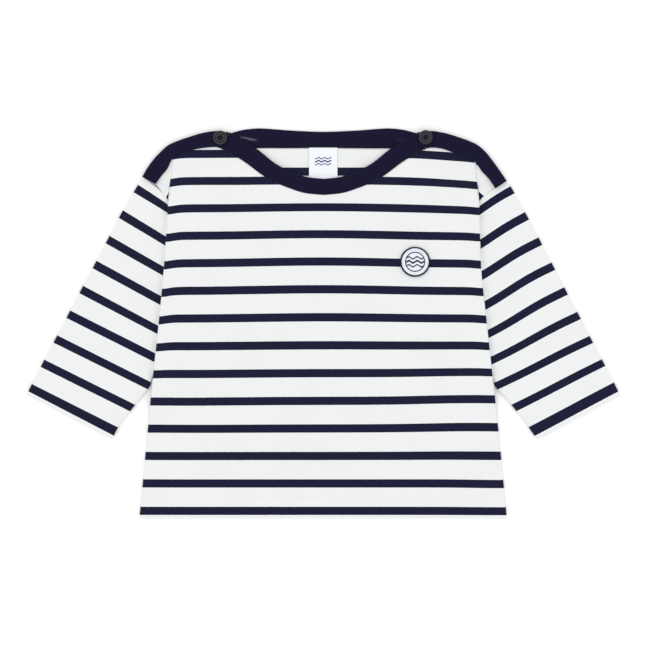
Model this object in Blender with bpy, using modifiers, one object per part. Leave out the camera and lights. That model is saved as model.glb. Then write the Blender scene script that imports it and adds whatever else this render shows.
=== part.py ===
"""A baby's long-sleeved breton top, laid flat on its back.

The front and back panels lie on each other, the sleeves are flattened tubes whose inner part
is tucked between the panels, and the neck and shoulders are bound with navy knit.
Left and right are the wearer's: the wearer's left is at +X. The neck is at +Y, the cloth lies
on Z = 0 and the hem is at -Y. Sizes are written in millimetres and built in metres.
"""

import math
from collections import namedtuple

import bmesh
import bpy
from mathutils import Vector

MM = 0.001

# Cloth and gaps
WALL = 1.2
BINDING_WALL = 1.6
BAND_WALL = 1.4
LABEL_WALL = 0.6
SEAM_GAP = 0.35
NECK_SEAM_GAP = 0.7
LAY_GAP = 0.3
FRONT_REST = WALL + LAY_GAP
PANEL_LOFT = 0.9
LOFT_RUN = 30.0

# Hem, cuffs and the hidden tuck of the sleeves between the panels
HEM_Y = -161.7
SEAM_CORNER_Y = 100.0
SLEEVE_HEIGHT = 3.0
SLEEVE_LIFT = SLEEVE_HEIGHT + LAY_GAP
RAMP_START = 5.5
RAMP_END = 0.7
RAMP_LEAST = 0.6
SLEEVE_SEAM_GAP = 0.42
SEAM_OUTER_NORMAL = (0.49, -0.87)
SEAM_BEND_NORMAL = (0.69, -0.74)
SEAM_INNER_NORMAL = (0.84, -0.55)
TUCK_PLATEAU = 24.0
TUCK_RUN = 36.0
TUCK_BELOW = (-84.0, -53.0)
TUCK_ABOVE = (106.0, 126.0)
FOLD_FOOT_FADE = (100.0, 109.0)
FOLD_RISE = 2.4
FOLD_STEPS = 3
FOLD_TOP_X = 125.0

# Neck and shoulders
NECK_HALF = 77.5
NECK_SLOPE_STEP = 0.5
NECK_CURVE_STEPS = 24
BACK_BINDING_TOP_HALF = 77.2
BACK_BINDING_LOW_HALF = 83.3
NECK_CORNER_X = 84.6
BINDING_REST = 2.4
BINDING_EDGE_SHARE = 0.3
BINDING_CROWN_SHARE = 1.08
BAND_MIDDLE_SHARE = 0.55
BAND_BEVEL_SHARE = 0.35
BAND_CORNER_SHARE = 0.5

# Button, patch and label
BUTTON_RADIUS = 6.0
BUTTON_HEIGHT = 2.6
BUTTON_HOLES = 4
BUTTON_HOLE_RADIUS = 0.75
BUTTON_HOLE_SPREAD = 1.25
BUTTON_PLACE = {-1: (-85.7, 153.7), 1: (84.6, 154.1)}
PATCH_CENTRE = (75.9, 50.9)
PATCH_RADIUS = 12.5
PATCH_THICKNESS = 1.0
LABEL_WIDTH = 23.6
LABEL_CENTRE_X = -0.3
LABEL_TOP_Y = 145.8
LABEL_LOW_Y = 116.5

# Plain colours and roughnesses
JERSEY_WHITE = (0.85, 0.86, 0.86)
NAVY = (0.016, 0.015, 0.035)
SATIN_WHITE = (0.88, 0.88, 0.88)
BUTTON_NAVY = (0.02, 0.02, 0.035)
JERSEY_ROUGHNESS = 0.9
KNIT_ROUGHNESS = 0.88
SATIN_ROUGHNESS = 0.6
BUTTON_ROUGHNESS = 0.4

SideRow = namedtuple("SideRow", "y right left")
SIDE_EDGES = (
    SideRow(-161.7, 152.9, 152.1),
    SideRow(-134.3, 150.4, 149.7),
    SideRow(-88.6, 146.1, 145.3),
    SideRow(-43.0, 141.5, 140.2),
    SideRow(2.7, 136.6, 135.2),
    SideRow(48.3, 132.4, 130.7),
    SideRow(100.0, 129.0, 129.2),
)

SleeveRow = namedtuple("SleeveRow", "outer_x outer_y inner_x inner_y hidden lift")
SLEEVE_ROWS = {
    -1: (
        SleeveRow(150.6, 121.8, 129.2, 100.2, 14, 1),
        SleeveRow(156.4, 111.3, 130.1, 92.3, 21, 1),
        SleeveRow(166.7, 93.8, 131.6, 72.4, 24, 1),
        SleeveRow(177.8, 72.6, 133.2, 47.1, 24, 1),
        SleeveRow(188.6, 51.9, 135.3, 22.7, 21, 1),
        SleeveRow(199.7, 31.1, 137.8, -1.8, 15, 1),
        SleeveRow(210.4, 10.6, 140.3, -24.7, 8, 1),
        SleeveRow(221.2, -10.0, 143.4, -48.8, 0, 1),
        SleeveRow(226.6, -20.1, 149.9, -58.2, 0, 0.4),
        SleeveRow(231.9, -30.2, 156.4, -67.7, 0, 0),
        SleeveRow(242.3, -50.4, 170.6, -86.5, 0, 0),
        SleeveRow(246.5, -58.8, 175.5, -96.1, 0, 0),
    ),
    1: (
        SleeveRow(152.1, 118.2, 129.8, 99.8, 14, 1),
        SleeveRow(157.4, 110.1, 130.1, 91.6, 21, 1),
        SleeveRow(167.3, 92.3, 130.6, 70.2, 24, 1),
        SleeveRow(178.5, 71.3, 131.5, 44.5, 24, 1),
        SleeveRow(189.3, 50.5, 133.5, 19.5, 21, 1),
        SleeveRow(199.9, 29.9, 135.8, -4.8, 15, 1),
        SleeveRow(210.6, 9.5, 138.0, -27.6, 8, 1),
        SleeveRow(220.9, -10.5, 141.2, -49.3, 0, 1),
        SleeveRow(226.0, -20.2, 148.6, -58.5, 0, 0.4),
        SleeveRow(231.1, -29.8, 155.9, -67.7, 0, 0),
        SleeveRow(241.0, -49.1, 170.2, -86.3, 0, 0),
        SleeveRow(246.4, -59.6, 177.2, -96.5, 0, 0),
    ),
}

ShoulderRow = namedtuple("ShoulderRow", "outer_x outer_y inner_x inner_y lap")
SHOULDER_ROWS = {
    -1: (
        ShoulderRow(150.6, 121.8, 139.2, 115.4, 0.22),
        ShoulderRow(146.0, 129.6, 134.4, 122.4, 0.22),
        ShoulderRow(140.5, 136.9, 129.6, 128.2, 0.22),
        ShoulderRow(134.8, 142.9, 126.4, 135.0, 0.24),
        ShoulderRow(128.3, 148.3, 122.5, 140.0, 0.26),
        ShoulderRow(119.5, 152.1, 115.6, 142.2, 0.28),
        ShoulderRow(110.8, 155.0, 106.7, 144.2, 0.30),
        ShoulderRow(101.5, 157.8, 98.0, 145.6, 0.40),
        ShoulderRow(89.0, 159.7, 90.4, 146.2, 0.70),
        ShoulderRow(77.9, 158.4, 84.7, 145.0, 0.97),
    ),
    1: (
        ShoulderRow(152.1, 118.2, 142.4, 111.6, 0.22),
        ShoulderRow(146.2, 126.9, 136.8, 120.2, 0.22),
        ShoulderRow(140.9, 134.3, 131.0, 126.4, 0.22),
        ShoulderRow(135.0, 141.8, 126.8, 133.0, 0.24),
        ShoulderRow(127.6, 148.2, 122.3, 136.7, 0.26),
        ShoulderRow(119.8, 151.8, 115.5, 138.9, 0.28),
        ShoulderRow(111.0, 154.9, 107.0, 141.8, 0.30),
        ShoulderRow(100.0, 158.1, 98.0, 144.8, 0.40),
        ShoulderRow(88.5, 159.7, 90.5, 145.7, 0.70),
        ShoulderRow(77.9, 158.4, 84.7, 145.0, 0.97),
    ),
}

ShoulderMiddle = namedtuple("ShoulderMiddle", "x y")
SHOULDER_MIDDLES = (ShoulderMiddle(0.0, 159.0), ShoulderMiddle(56.0, 160.4))

NeckRow = namedtuple("NeckRow", "x y width")
NECK_ROWS = (
    NeckRow(0.0, 119.8, 13.2),
    NeckRow(12.0, 121.0, 13.2),
    NeckRow(24.0, 124.8, 13.3),
    NeckRow(38.0, 131.3, 13.8),
    NeckRow(56.0, 145.2, 14.6),
    NeckRow(68.0, 153.4, 15.0),
    NeckRow(NECK_HALF, 158.2, 15.0),
)

BackNeckRow = namedtuple("BackNeckRow", "share top low")
BACK_NECK_ROWS = (
    BackNeckRow(-1.0, 157.9, 146.0),
    BackNeckRow(-0.84, 160.9, 146.1),
    BackNeckRow(-0.70, 161.8, 146.1),
    BackNeckRow(-0.36, 160.1, 145.9),
    BackNeckRow(0.0, 159.0, 146.6),
    BackNeckRow(0.36, 160.1, 145.5),
    BackNeckRow(0.70, 161.8, 145.3),
    BackNeckRow(0.84, 160.9, 145.4),
    BackNeckRow(1.0, 157.9, 145.6),
)

ButtonRow = namedtuple("ButtonRow", "inset share")
BUTTON_ROWS = (
    ButtonRow(BUTTON_RADIUS, 0.73),
    ButtonRow(2.0, 0.73),
    ButtonRow(1.5, 0.96),
    ButtonRow(0.8, 1.0),
    ButtonRow(0.2, 0.81),
    ButtonRow(0.0, 0.5),
    ButtonRow(0.6, 0.12),
    ButtonRow(1.6, 0.0),
    ButtonRow(BUTTON_RADIUS, 0.0),
)

PatchRow = namedtuple("PatchRow", "inset height")
PATCH_ROWS = (
    PatchRow(6.3, 0.0),
    PatchRow(0.4, 0.0),
    PatchRow(0.0, 0.3),
    PatchRow(0.0, PATCH_THICKNESS),
    PatchRow(0.45, 1.5),
    PatchRow(1.05, 1.5),
    PatchRow(1.5, PATCH_THICKNESS),
    PatchRow(6.3, PATCH_THICKNESS),
)

MAIN_COLUMN_SHARES = (1.0, 0.93, 0.86, 0.78, 0.69, 0.61, 0.51, 0.41, 0.31, 0.21, 0.10)
LOWER_ROWS_Y = (
    -161.7, -148.0, -132.0, -114.0, -97.0, -84.0, -76.0, -68.0, -60.0, -53.0,
    -40.0, -20.0, 2.0, 24.0, 46.0, 66.0, 84.0, 95.0,
)
UPPER_ROW_SHARES = (0.0, 0.10, 0.20, 0.32, 0.46, 0.60, 0.74, 0.87, 1.0)
BACK_ROWS_Y = (-161.7, -134.3, -88.6, -43.0, -20.0, 2.7, 24.0, 48.3, 72.0, 90.0)
BACK_UPPER_SHARES = (0.0, 0.34, 0.67, 1.0)
SEAM_BEND_SHARE = 0.60
SLEEVE_STATIONS = 4
EDGE_ANGLES = (-90.0, -45.0, 0.0, 45.0, 90.0)
NECK_STATIONS = 31
BACK_NECK_STATIONS = 21
SHOULDER_STATIONS = 19
PATCH_SIDES = 24
BUTTON_SIDES = 28
HOLE_SIDES = 8
MERGE_REACH = 0.00001


def smooth_step(value, low, high):
    """Rise smoothly from 0 at low to 1 at high."""
    share = min(max((value - low) / (high - low), 0.0), 1.0)
    return share * share * (3.0 - 2.0 * share)


def curve_through(points):
    """Return a function of x that runs smoothly through points sorted by x."""
    xs = [point[0] for point in points]
    ys = [point[1] for point in points]
    last = len(xs) - 1
    slopes = [(ys[i + 1] - ys[i]) / (xs[i + 1] - xs[i]) for i in range(last)]
    tangents = [slopes[0]]
    for i in range(1, last):
        before, after = slopes[i - 1], slopes[i]
        tangents.append(0.0 if before * after <= 0.0 else 2.0 * before * after / (before + after))
    tangents.append(slopes[-1])

    def value(x):
        if x <= xs[0]:
            return ys[0]
        if x >= xs[-1]:
            return ys[-1]
        i = max(k for k in range(last) if xs[k] <= x)
        run = xs[i + 1] - xs[i]
        t = (x - xs[i]) / run
        ease = t * t * (3.0 - 2.0 * t)
        into = run * t * (1.0 - t) * (1.0 - t)
        out = run * t * t * (1.0 - t)
        return ys[i] + (ys[i + 1] - ys[i]) * ease + tangents[i] * into - tangents[i + 1] * out

    return value


def along_rows(rows, fields, count):
    """Return count rows of the named fields, spread smoothly along the table's rows."""
    curves = [curve_through([(k, getattr(row, field)) for k, row in enumerate(rows)])
              for field in fields]
    last = len(rows) - 1
    return [[curve(last * k / (count - 1)) for curve in curves] for k in range(count)]


SIDE_X = {
    -1: curve_through([(row.y, row.right) for row in SIDE_EDGES]),
    1: curve_through([(row.y, row.left) for row in SIDE_EDGES]),
}
NECK_Y = curve_through([(row.x, row.y) for row in NECK_ROWS])
NECK_WIDTH = curve_through([(row.x, row.width) for row in NECK_ROWS])


def lap_curve(side):
    """Return the front panel's edge under the shoulder band, y over distance from the middle."""
    points = []
    for row in reversed(SHOULDER_ROWS[side]):
        x = row.outer_x + (row.inner_x - row.outer_x) * row.lap
        y = row.outer_y + (row.inner_y - row.outer_y) * row.lap
        points.append((x, y))
    return curve_through(points)


def band_inner_curve(side):
    """Return the shoulder band's inner edge, y over distance from the middle."""
    return curve_through([(row.inner_x, row.inner_y) for row in reversed(SHOULDER_ROWS[side])])


def shoulder_curve(side):
    """Return the outer shoulder line, y over distance from the middle."""
    points = [(row.x, row.y) for row in SHOULDER_MIDDLES]
    points += [(row.outer_x, row.outer_y) for row in reversed(SHOULDER_ROWS[side])]
    return curve_through(points)


LAP_Y = {side: lap_curve(side) for side in (-1, 1)}
BAND_INNER_Y = {side: band_inner_curve(side) for side in (-1, 1)}
SHOULDER_Y = {side: shoulder_curve(side) for side in (-1, 1)}


def neck_edges(x):
    """Return the inner and outer points of the front neck binding at a distance x."""
    ahead = min(x + NECK_SLOPE_STEP, NECK_HALF)
    behind = max(x - NECK_SLOPE_STEP, 0.0)
    slope = (NECK_Y(ahead) - NECK_Y(behind)) / (ahead - behind)
    normal = Vector((slope, -1.0)).normalized()
    if x == 0.0:
        normal = Vector((0.0, -1.0))
    inner = Vector((x, NECK_Y(x)))
    return inner, inner + normal * NECK_WIDTH(x)


def neck_outer_curve():
    """Return the neck binding's outer edge, y over distance from the middle."""
    stations = [NECK_HALF * k / NECK_CURVE_STEPS for k in range(NECK_CURVE_STEPS + 1)]
    return curve_through([tuple(neck_edges(x)[1]) for x in stations])


NECK_OUTER_Y = neck_outer_curve()
BACK_NECK_TOP = curve_through([(row.share, row.top) for row in BACK_NECK_ROWS])
BACK_NECK_LOW = curve_through([(row.share, row.low) for row in BACK_NECK_ROWS])


def front_base(x, y):
    """Return the front panel's lower face, without the tuck over the sleeves."""
    side = 1 if x > 0 else -1
    from_side = SIDE_X[side](y) - abs(x)
    from_top = SHOULDER_Y[side](abs(x)) - y
    from_hem = y - HEM_Y
    loft = PANEL_LOFT
    for distance in (from_side, from_top, from_hem):
        loft *= smooth_step(distance, 0.0, LOFT_RUN)
    return FRONT_REST + loft


def tuck_lift(x, y):
    """Return how far the sleeve tucked below raises the front panel."""
    side = 1 if x > 0 else -1
    from_side = SIDE_X[side](y) - abs(x)
    across = 1.0 - smooth_step(from_side, TUCK_PLATEAU, TUCK_PLATEAU + TUCK_RUN)
    up = smooth_step(y, *TUCK_BELOW) * (1.0 - smooth_step(y, *TUCK_ABOVE))
    return SLEEVE_LIFT * across * up


def front_low(x, y):
    """Return the height of the front panel's lower face."""
    return front_base(x, y) + tuck_lift(x, y)


def front_top(x, y):
    """Return the height of the front panel's upper face."""
    return front_low(x, y) + WALL


def new_object(name, mesh, collection):
    """Link a mesh to the collection as an object of that name."""
    obj = bpy.data.objects.new(name, mesh)
    collection.objects.link(obj)
    return obj


def mesh_from_faces(name, points, faces):
    """Return a mesh from points in millimetres and the faces between them."""
    mesh = bpy.data.meshes.new(name)
    mesh.from_pydata([Vector(point) * MM for point in points], [], faces)
    mesh.validate()
    mesh.update()
    return mesh


def grid_faces(rows, columns, closed=False):
    """Return the quads of a grid of points stored row after row."""
    faces = []
    for r in range(rows - 1):
        for c in range(columns if closed else columns - 1):
            following = (c + 1) % columns
            faces.append((r * columns + c, r * columns + following,
                          (r + 1) * columns + following, (r + 1) * columns + c))
    return faces


def add_wall(obj, wall, offset):
    """Give an open surface its cloth thickness."""
    solidify = obj.modifiers.new("cloth wall", "SOLIDIFY")
    solidify.thickness = wall * MM
    solidify.offset = offset
    solidify.use_even_offset = True
    solidify.use_quality_normals = True
    return solidify


def sheet(name, rows, wall, collection):
    """Build a cloth sheet from rows of points on its lower face, left to right, hem to top."""
    columns = len(rows[0])
    points = [point for row in rows for point in row]
    obj = new_object(name, mesh_from_faces(name, points, grid_faces(len(rows), columns)), collection)
    add_wall(obj, wall, 1.0)
    return obj


def loft(name, sections, collection):
    """Join closed sections of equally many points into a solid with flat ends."""
    count = len(sections[0])
    points = [point for section in sections for point in section]
    faces = grid_faces(len(sections), count, closed=True)
    faces.append(tuple(reversed(range(count))))
    start = (len(sections) - 1) * count
    faces.append(tuple(range(start, start + count)))
    mesh = mesh_from_faces(name, points, faces)
    face_outwards(mesh)
    return new_object(name, mesh, collection)


def seam_point(side, share):
    """Return a point of the armhole seam, from the fold at 0 to the shoulder at 1."""
    rows = SHOULDER_ROWS[side]
    low = Vector((SIDE_X[side](SEAM_CORNER_Y), SEAM_CORNER_Y))
    bend = Vector((rows[0].inner_x, rows[0].inner_y))
    top = Vector((rows[0].outer_x, rows[0].outer_y))
    top = top.lerp(bend, rows[0].lap)
    if share <= SEAM_BEND_SHARE:
        return low.lerp(bend, share / SEAM_BEND_SHARE)
    return bend.lerp(top, (share - SEAM_BEND_SHARE) / (1.0 - SEAM_BEND_SHARE))


def front_top_edge(side, x):
    """Return the y of the front panel's upper edge at a distance x from the middle."""
    if x >= NECK_CORNER_X:
        return LAP_Y[side](x)
    return NECK_OUTER_Y(x) - NECK_SEAM_GAP


def fold_foot(side, share):
    """Return the foot of the armhole fold, from the seam's corner up to the shoulder."""
    top = Vector((FOLD_TOP_X, LAP_Y[side](FOLD_TOP_X)))
    low = Vector((SIDE_X[side](SEAM_CORNER_Y), SEAM_CORNER_Y))
    return low.lerp(top, share)


def edge_points_below(side, y):
    """Return the front panel's three outermost points on a level row, edge first."""
    places = [SIDE_X[side](y) - FOLD_RISE * k / FOLD_STEPS for k in range(FOLD_STEPS)]
    return [(side * x, y, front_low(side * x, y)) for x in places]


def edge_points_above(side, share):
    """Return the points of the small tuck outside the fold, seam first."""
    foot = fold_foot(side, share)
    seam = seam_point(side, share)
    middle = seam.lerp(foot, 0.5)
    if share == 1.0:
        middle.y = LAP_Y[side](middle.x)
    rise = SLEEVE_LIFT * (1.0 - smooth_step(foot.y, *FOLD_FOOT_FADE))
    return [(side * place.x, place.y, front_base(side * place.x, place.y) + rise)
            for place in (seam, middle, foot)]


def main_columns():
    """Return the side and share of each column between the two fold crests."""
    right = [(-1, share) for share in MAIN_COLUMN_SHARES]
    left = [(1, share) for share in reversed(MAIN_COLUMN_SHARES)]
    return right + [(1, 0.0)] + left


def front_lower_row(y):
    """Return one level row of the front panel below the armhole seam's corner."""
    row = edge_points_below(-1, y)
    for side, column in main_columns():
        x = side * (SIDE_X[side](y) - FOLD_RISE) * column
        row.append((x, y, front_low(x, y)))
    return row + edge_points_below(1, y)[::-1]


def front_upper_row(share):
    """Return one row of the front panel from the seam's corner up to neck and shoulders."""
    row = edge_points_above(-1, share)
    for side, column in main_columns():
        low_x = (SIDE_X[side](SEAM_CORNER_Y) - FOLD_RISE) * column
        top_x = (FOLD_TOP_X - FOLD_RISE) * column
        top_y = front_top_edge(side, top_x)
        x = side * (low_x + (top_x - low_x) * share)
        y = SEAM_CORNER_Y + (top_y - SEAM_CORNER_Y) * share
        row.append((x, y, front_low(x, y)))
    return row + edge_points_above(1, share)[::-1]


def build_front(collection):
    """Build the front panel, raised over the tucked sleeves, with its armhole folds."""
    rows = [front_lower_row(y) for y in LOWER_ROWS_Y]
    rows += [front_upper_row(share) for share in UPPER_ROW_SHARES]
    return sheet("body_front", rows, WALL, collection)


def back_top_edge(side, x):
    """Return the y of the back panel's upper edge at a distance x from the middle."""
    if x >= NECK_CORNER_X:
        return BAND_INNER_Y[side](x) - 2.0 * SEAM_GAP
    return BACK_NECK_LOW(side * x / BACK_BINDING_LOW_HALF) - SEAM_GAP


def back_seam_top(side):
    """Return the upper end of the back panel's armhole seam, just clear of the band."""
    bend = Vector((SHOULDER_ROWS[side][0].inner_x, SHOULDER_ROWS[side][0].inner_y))
    low = Vector((SIDE_X[side](SEAM_CORNER_Y), SEAM_CORNER_Y))
    return bend + (low - bend).normalized() * 2.0 * SEAM_GAP


def build_back(collection):
    """Build the flat back panel that the top rests on."""
    rows = []
    for y in BACK_ROWS_Y:
        rows.append([(side * SIDE_X[side](y) * column, y, 0.0) for side, column in main_columns()])
    for share in BACK_UPPER_SHARES:
        row = []
        for side, column in main_columns():
            low_x = SIDE_X[side](SEAM_CORNER_Y) * column
            corner = back_seam_top(side)
            top_x = corner.x * column
            top_y = corner.y if column == 1.0 else back_top_edge(side, top_x)
            x = side * (low_x + (top_x - low_x) * share)
            y = SEAM_CORNER_Y + (top_y - SEAM_CORNER_Y) * share
            row.append((x, y, 0.0))
        rows.append(row)
    return sheet("body_back", rows, WALL, collection)


def sleeve_path(side, row, first):
    """Return the corners of the line that a sleeve ring follows across the sleeve."""
    outer = Vector((row.outer_x, row.outer_y))
    inner = Vector((row.inner_x, row.inner_y))
    if not first:
        beyond = inner + (inner - outer).normalized() * row.hidden
        return [outer, inner, beyond]
    bend = Vector((SHOULDER_ROWS[side][0].inner_x, SHOULDER_ROWS[side][0].inner_y))
    outer += Vector(SEAM_OUTER_NORMAL) * SLEEVE_SEAM_GAP
    bend += Vector(SEAM_BEND_NORMAL) * SLEEVE_SEAM_GAP
    inner += Vector(SEAM_INNER_NORMAL) * SLEEVE_SEAM_GAP
    following = SLEEVE_ROWS[side][1]
    slope = Vector((following.inner_x - following.outer_x, following.inner_y - following.outer_y))
    return [outer, bend, inner, inner + slope.normalized() * row.hidden]


def point_along(path, distance):
    """Return the point at a distance along a path of corners."""
    for start, stop in zip(path, path[1:]):
        length = (stop - start).length
        if distance <= length or stop is path[-1]:
            return start.lerp(stop, distance / length) if length > 0.0 else start.copy()
        distance -= length
    return path[-1].copy()


def sleeve_ring(side, row, first):
    """Return one closed ring of a flattened sleeve, from its outer edge round to it again."""
    path = sleeve_path(side, row, first)
    whole = sum((stop - start).length for start, stop in zip(path, path[1:]))
    shown = whole - row.hidden
    radius = SLEEVE_HEIGHT / 2.0
    last = whole - radius
    ramp_start = min(shown - RAMP_START, last - 2.0 * RAMP_LEAST)
    ramp_end = min(shown - RAMP_END, last - RAMP_LEAST)
    stations = [radius + (ramp_start - radius) * (k + 1) / SLEEVE_STATIONS
                for k in range(SLEEVE_STATIONS)]
    stations += [ramp_end, (ramp_end + last) / 2.0]
    bend = [(radius * (1.0 - math.cos(math.radians(angle))), radius * math.sin(math.radians(angle)))
            for angle in EDGE_ANGLES]
    ring = [(inset, height) for inset, height in reversed(bend)]
    ring += [(station, -radius) for station in stations]
    ring += [(whole - inset, height) for inset, height in bend]
    ring += [(station, radius) for station in reversed(stations)]
    points = []
    for distance, height in ring:
        place = point_along(path, distance)
        base = FRONT_REST * row.lift * smooth_step(distance, ramp_start, ramp_end)
        points.append((side * place.x, place.y, base + radius + height))
    return points


def build_sleeve(name, side, collection):
    """Build a sleeve: a flattened tube, open at the armhole and at the cuff."""
    rings = [sleeve_ring(side, row, k == 0) for k, row in enumerate(SLEEVE_ROWS[side])]
    count = len(rings[0])
    points = [point for ring in rings for point in ring]
    mesh = mesh_from_faces(name, points, grid_faces(len(rings), count, closed=True))
    face_outwards(mesh)
    obj = new_object(name, mesh, collection)
    add_wall(obj, WALL, -1.0)
    return obj


def strip_section(width, wall):
    """Return a strip's rounded section as distances across it and heights."""
    edge = wall * BINDING_EDGE_SHARE
    return (
        (0.0, edge), (edge, 0.0), (width - edge, 0.0), (width, edge),
        (width, wall - edge), (width - edge, wall), (width / 2.0, wall * BINDING_CROWN_SHARE),
        (edge, wall), (0.0, wall - edge),
    )


def build_front_binding(collection):
    """Build the front neck binding, a thick strip along the scooped neckline."""
    sections = []
    for k in range(NECK_STATIONS):
        x = NECK_HALF * (2.0 * k / (NECK_STATIONS - 1) - 1.0)
        side = -1.0 if x < 0.0 else 1.0
        inner, outer = neck_edges(abs(x))
        across = (outer - inner).normalized()
        section = []
        for distance, height in strip_section((outer - inner).length, BINDING_WALL):
            place = inner + across * distance
            section.append((side * place.x, place.y, BINDING_REST + height))
        sections.append(section)
    return loft("neck_binding_front", sections, collection)


def build_back_binding(collection):
    """Build the back neck binding, which lies on the surface edge to edge with the back."""
    sections = []
    for k in range(BACK_NECK_STATIONS):
        share = 2.0 * k / (BACK_NECK_STATIONS - 1) - 1.0
        top = Vector((share * BACK_BINDING_TOP_HALF, BACK_NECK_TOP(share)))
        low = Vector((share * BACK_BINDING_LOW_HALF, BACK_NECK_LOW(share)))
        across = (low - top).normalized()
        section = []
        for distance, height in strip_section((low - top).length, BINDING_WALL):
            place = top + across * distance
            section.append((place.x, place.y, height))
        sections.append(section)
    return loft("neck_binding_back", sections, collection)


def band_section(side, station):
    """Return one folded section of a shoulder band: over the front and under the edge."""
    outer = Vector(station[0:2])
    inner = Vector(station[2:4])
    width = (inner - outer).length
    across = (inner - outer) / width
    lowest = FRONT_REST + WALL + LAY_GAP

    def rest(distance):
        place = outer + across * distance
        return max(lowest, front_top(side * place.x, place.y) + LAY_GAP)

    middle = width * BAND_MIDDLE_SHARE
    bevel = BAND_WALL * BAND_BEVEL_SHARE
    corner = BAND_WALL * BAND_CORNER_SHARE
    profile = (
        (width, 0.0), (bevel, 0.0), (0.0, corner),
        (0.0, lowest + BAND_WALL - corner), (corner, lowest + BAND_WALL),
        (middle, rest(middle) + BAND_WALL), (width - bevel, rest(width) + BAND_WALL),
        (width, rest(width) + BAND_WALL - bevel), (width, rest(width)),
        (middle, rest(middle)), (BAND_WALL + bevel, lowest), (BAND_WALL, lowest - bevel),
        (BAND_WALL, WALL + bevel), (BAND_WALL + bevel, WALL), (width, WALL),
    )
    points = []
    for distance, height in profile:
        place = outer + across * distance
        points.append((side * place.x, place.y, height))
    return points


def build_band(name, side, collection):
    """Build a shoulder band, folded round the shoulder's edge from neck to sleeve."""
    fields = ("outer_x", "outer_y", "inner_x", "inner_y")
    stations = along_rows(SHOULDER_ROWS[side], fields, SHOULDER_STATIONS)
    return loft(name, [band_section(side, station) for station in stations], collection)


def build_label(collection):
    """Build the woven label, flat on the inside of the back."""
    half = LABEL_WIDTH / 2.0
    rest = WALL + LAY_GAP
    rows = [[(LABEL_CENTRE_X + half * x, y, rest) for x in (-1.0, 0.0, 1.0)]
            for y in (LABEL_LOW_Y, LABEL_TOP_Y)]
    return sheet("neck_label", rows, LABEL_WALL, collection)


def build_patch(collection):
    """Build the round chest patch with its raised edge, laid on the front's own height."""
    centre_x, centre_y = PATCH_CENTRE
    rest = front_top(centre_x, centre_y) + LAY_GAP
    points = [(centre_x, centre_y, rest)]
    for row in PATCH_ROWS:
        radius = PATCH_RADIUS - row.inset
        for k in range(PATCH_SIDES):
            angle = 2.0 * math.pi * k / PATCH_SIDES
            x = centre_x + radius * math.cos(angle)
            y = centre_y + radius * math.sin(angle)
            points.append((x, y, front_top(x, y) + LAY_GAP + row.height))
    points.append((centre_x, centre_y, rest + PATCH_THICKNESS))
    faces = []
    for k in range(PATCH_SIDES):
        following = (k + 1) % PATCH_SIDES
        faces.append((0, 1 + following, 1 + k))
        for ring in range(len(PATCH_ROWS) - 1):
            low = 1 + ring * PATCH_SIDES
            faces.append((low + k, low + following,
                          low + PATCH_SIDES + following, low + PATCH_SIDES + k))
        last = 1 + (len(PATCH_ROWS) - 1) * PATCH_SIDES
        faces.append((last + k, last + following, len(points) - 1))
    mesh = mesh_from_faces("chest_patch", points, faces)
    face_outwards(mesh)
    return new_object("chest_patch", mesh, collection)


def build_button(name, side, collection, cutters):
    """Build a dished, rimmed, four-hole button on top of a shoulder band."""
    x, y = BUTTON_PLACE[side]
    cloth_top = max(FRONT_REST + WALL, front_top(x, y))
    rest = cloth_top + LAY_GAP + BAND_WALL + LAY_GAP
    mesh = bpy.data.meshes.new(name)
    points = [Vector((BUTTON_RADIUS - row.inset, 0.0, BUTTON_HEIGHT * row.share)) * MM
              for row in BUTTON_ROWS]
    mesh.from_pydata(points, [(k, k + 1) for k in range(len(points) - 1)], [])
    obj = new_object(name, mesh, collection)
    obj.location = Vector((x, y, rest)) * MM
    turned = obj.modifiers.new("turned", "SCREW")
    turned.steps = BUTTON_SIDES
    turned.render_steps = BUTTON_SIDES
    turned.use_merge_vertices = True
    turned.merge_threshold = MERGE_REACH
    for k in range(BUTTON_HOLES):
        angle = 2.0 * math.pi * (k + 0.5) / BUTTON_HOLES
        hole_x = x + BUTTON_HOLE_SPREAD * math.cos(angle)
        hole_y = y + BUTTON_HOLE_SPREAD * math.sin(angle)
        add_hole(obj, (hole_x, hole_y, rest + BUTTON_HEIGHT / 2.0), k, cutters)
    return obj


def add_hole(obj, place, number, cutters):
    """Cut one thread hole through a button."""
    hole = bmesh.new()
    bmesh.ops.create_cone(hole, cap_ends=True, segments=HOLE_SIDES, radius1=BUTTON_HOLE_RADIUS * MM,
                          radius2=BUTTON_HOLE_RADIUS * MM, depth=BUTTON_HEIGHT * 2.0 * MM)
    mesh = bpy.data.meshes.new(f"{obj.name}_hole_{number}")
    hole.to_mesh(mesh)
    hole.free()
    cutter = new_object(mesh.name, mesh, cutters)
    cutter.location = Vector(place) * MM
    cutter.hide_render = True
    cutter.display_type = "WIRE"
    cut = obj.modifiers.new(f"hole {number}", "BOOLEAN")
    cut.operation = "DIFFERENCE"
    cut.solver = "EXACT"
    cut.object = cutter


def face_outwards(mesh):
    """Turn a mesh's faces to point out of its shape."""
    shape = bmesh.new()
    shape.from_mesh(mesh)
    bmesh.ops.recalc_face_normals(shape, faces=shape.faces)
    shape.to_mesh(mesh)
    shape.free()


def make_material(name, colour, roughness):
    """Return a plain cloth or plastic material of one colour."""
    material = bpy.data.materials.new(name)
    material.use_nodes = True
    shader = material.node_tree.nodes["Principled BSDF"]
    shader.inputs["Base Color"].default_value = (*colour, 1.0)
    shader.inputs["Roughness"].default_value = roughness
    shader.inputs["Metallic"].default_value = 0.0
    return material


def finish(obj, colour, roughness):
    """Give a piece its own material and smooth shading."""
    obj.data.materials.append(make_material(f"{obj.name}_finish", colour, roughness))
    obj.data.shade_smooth()


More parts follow.
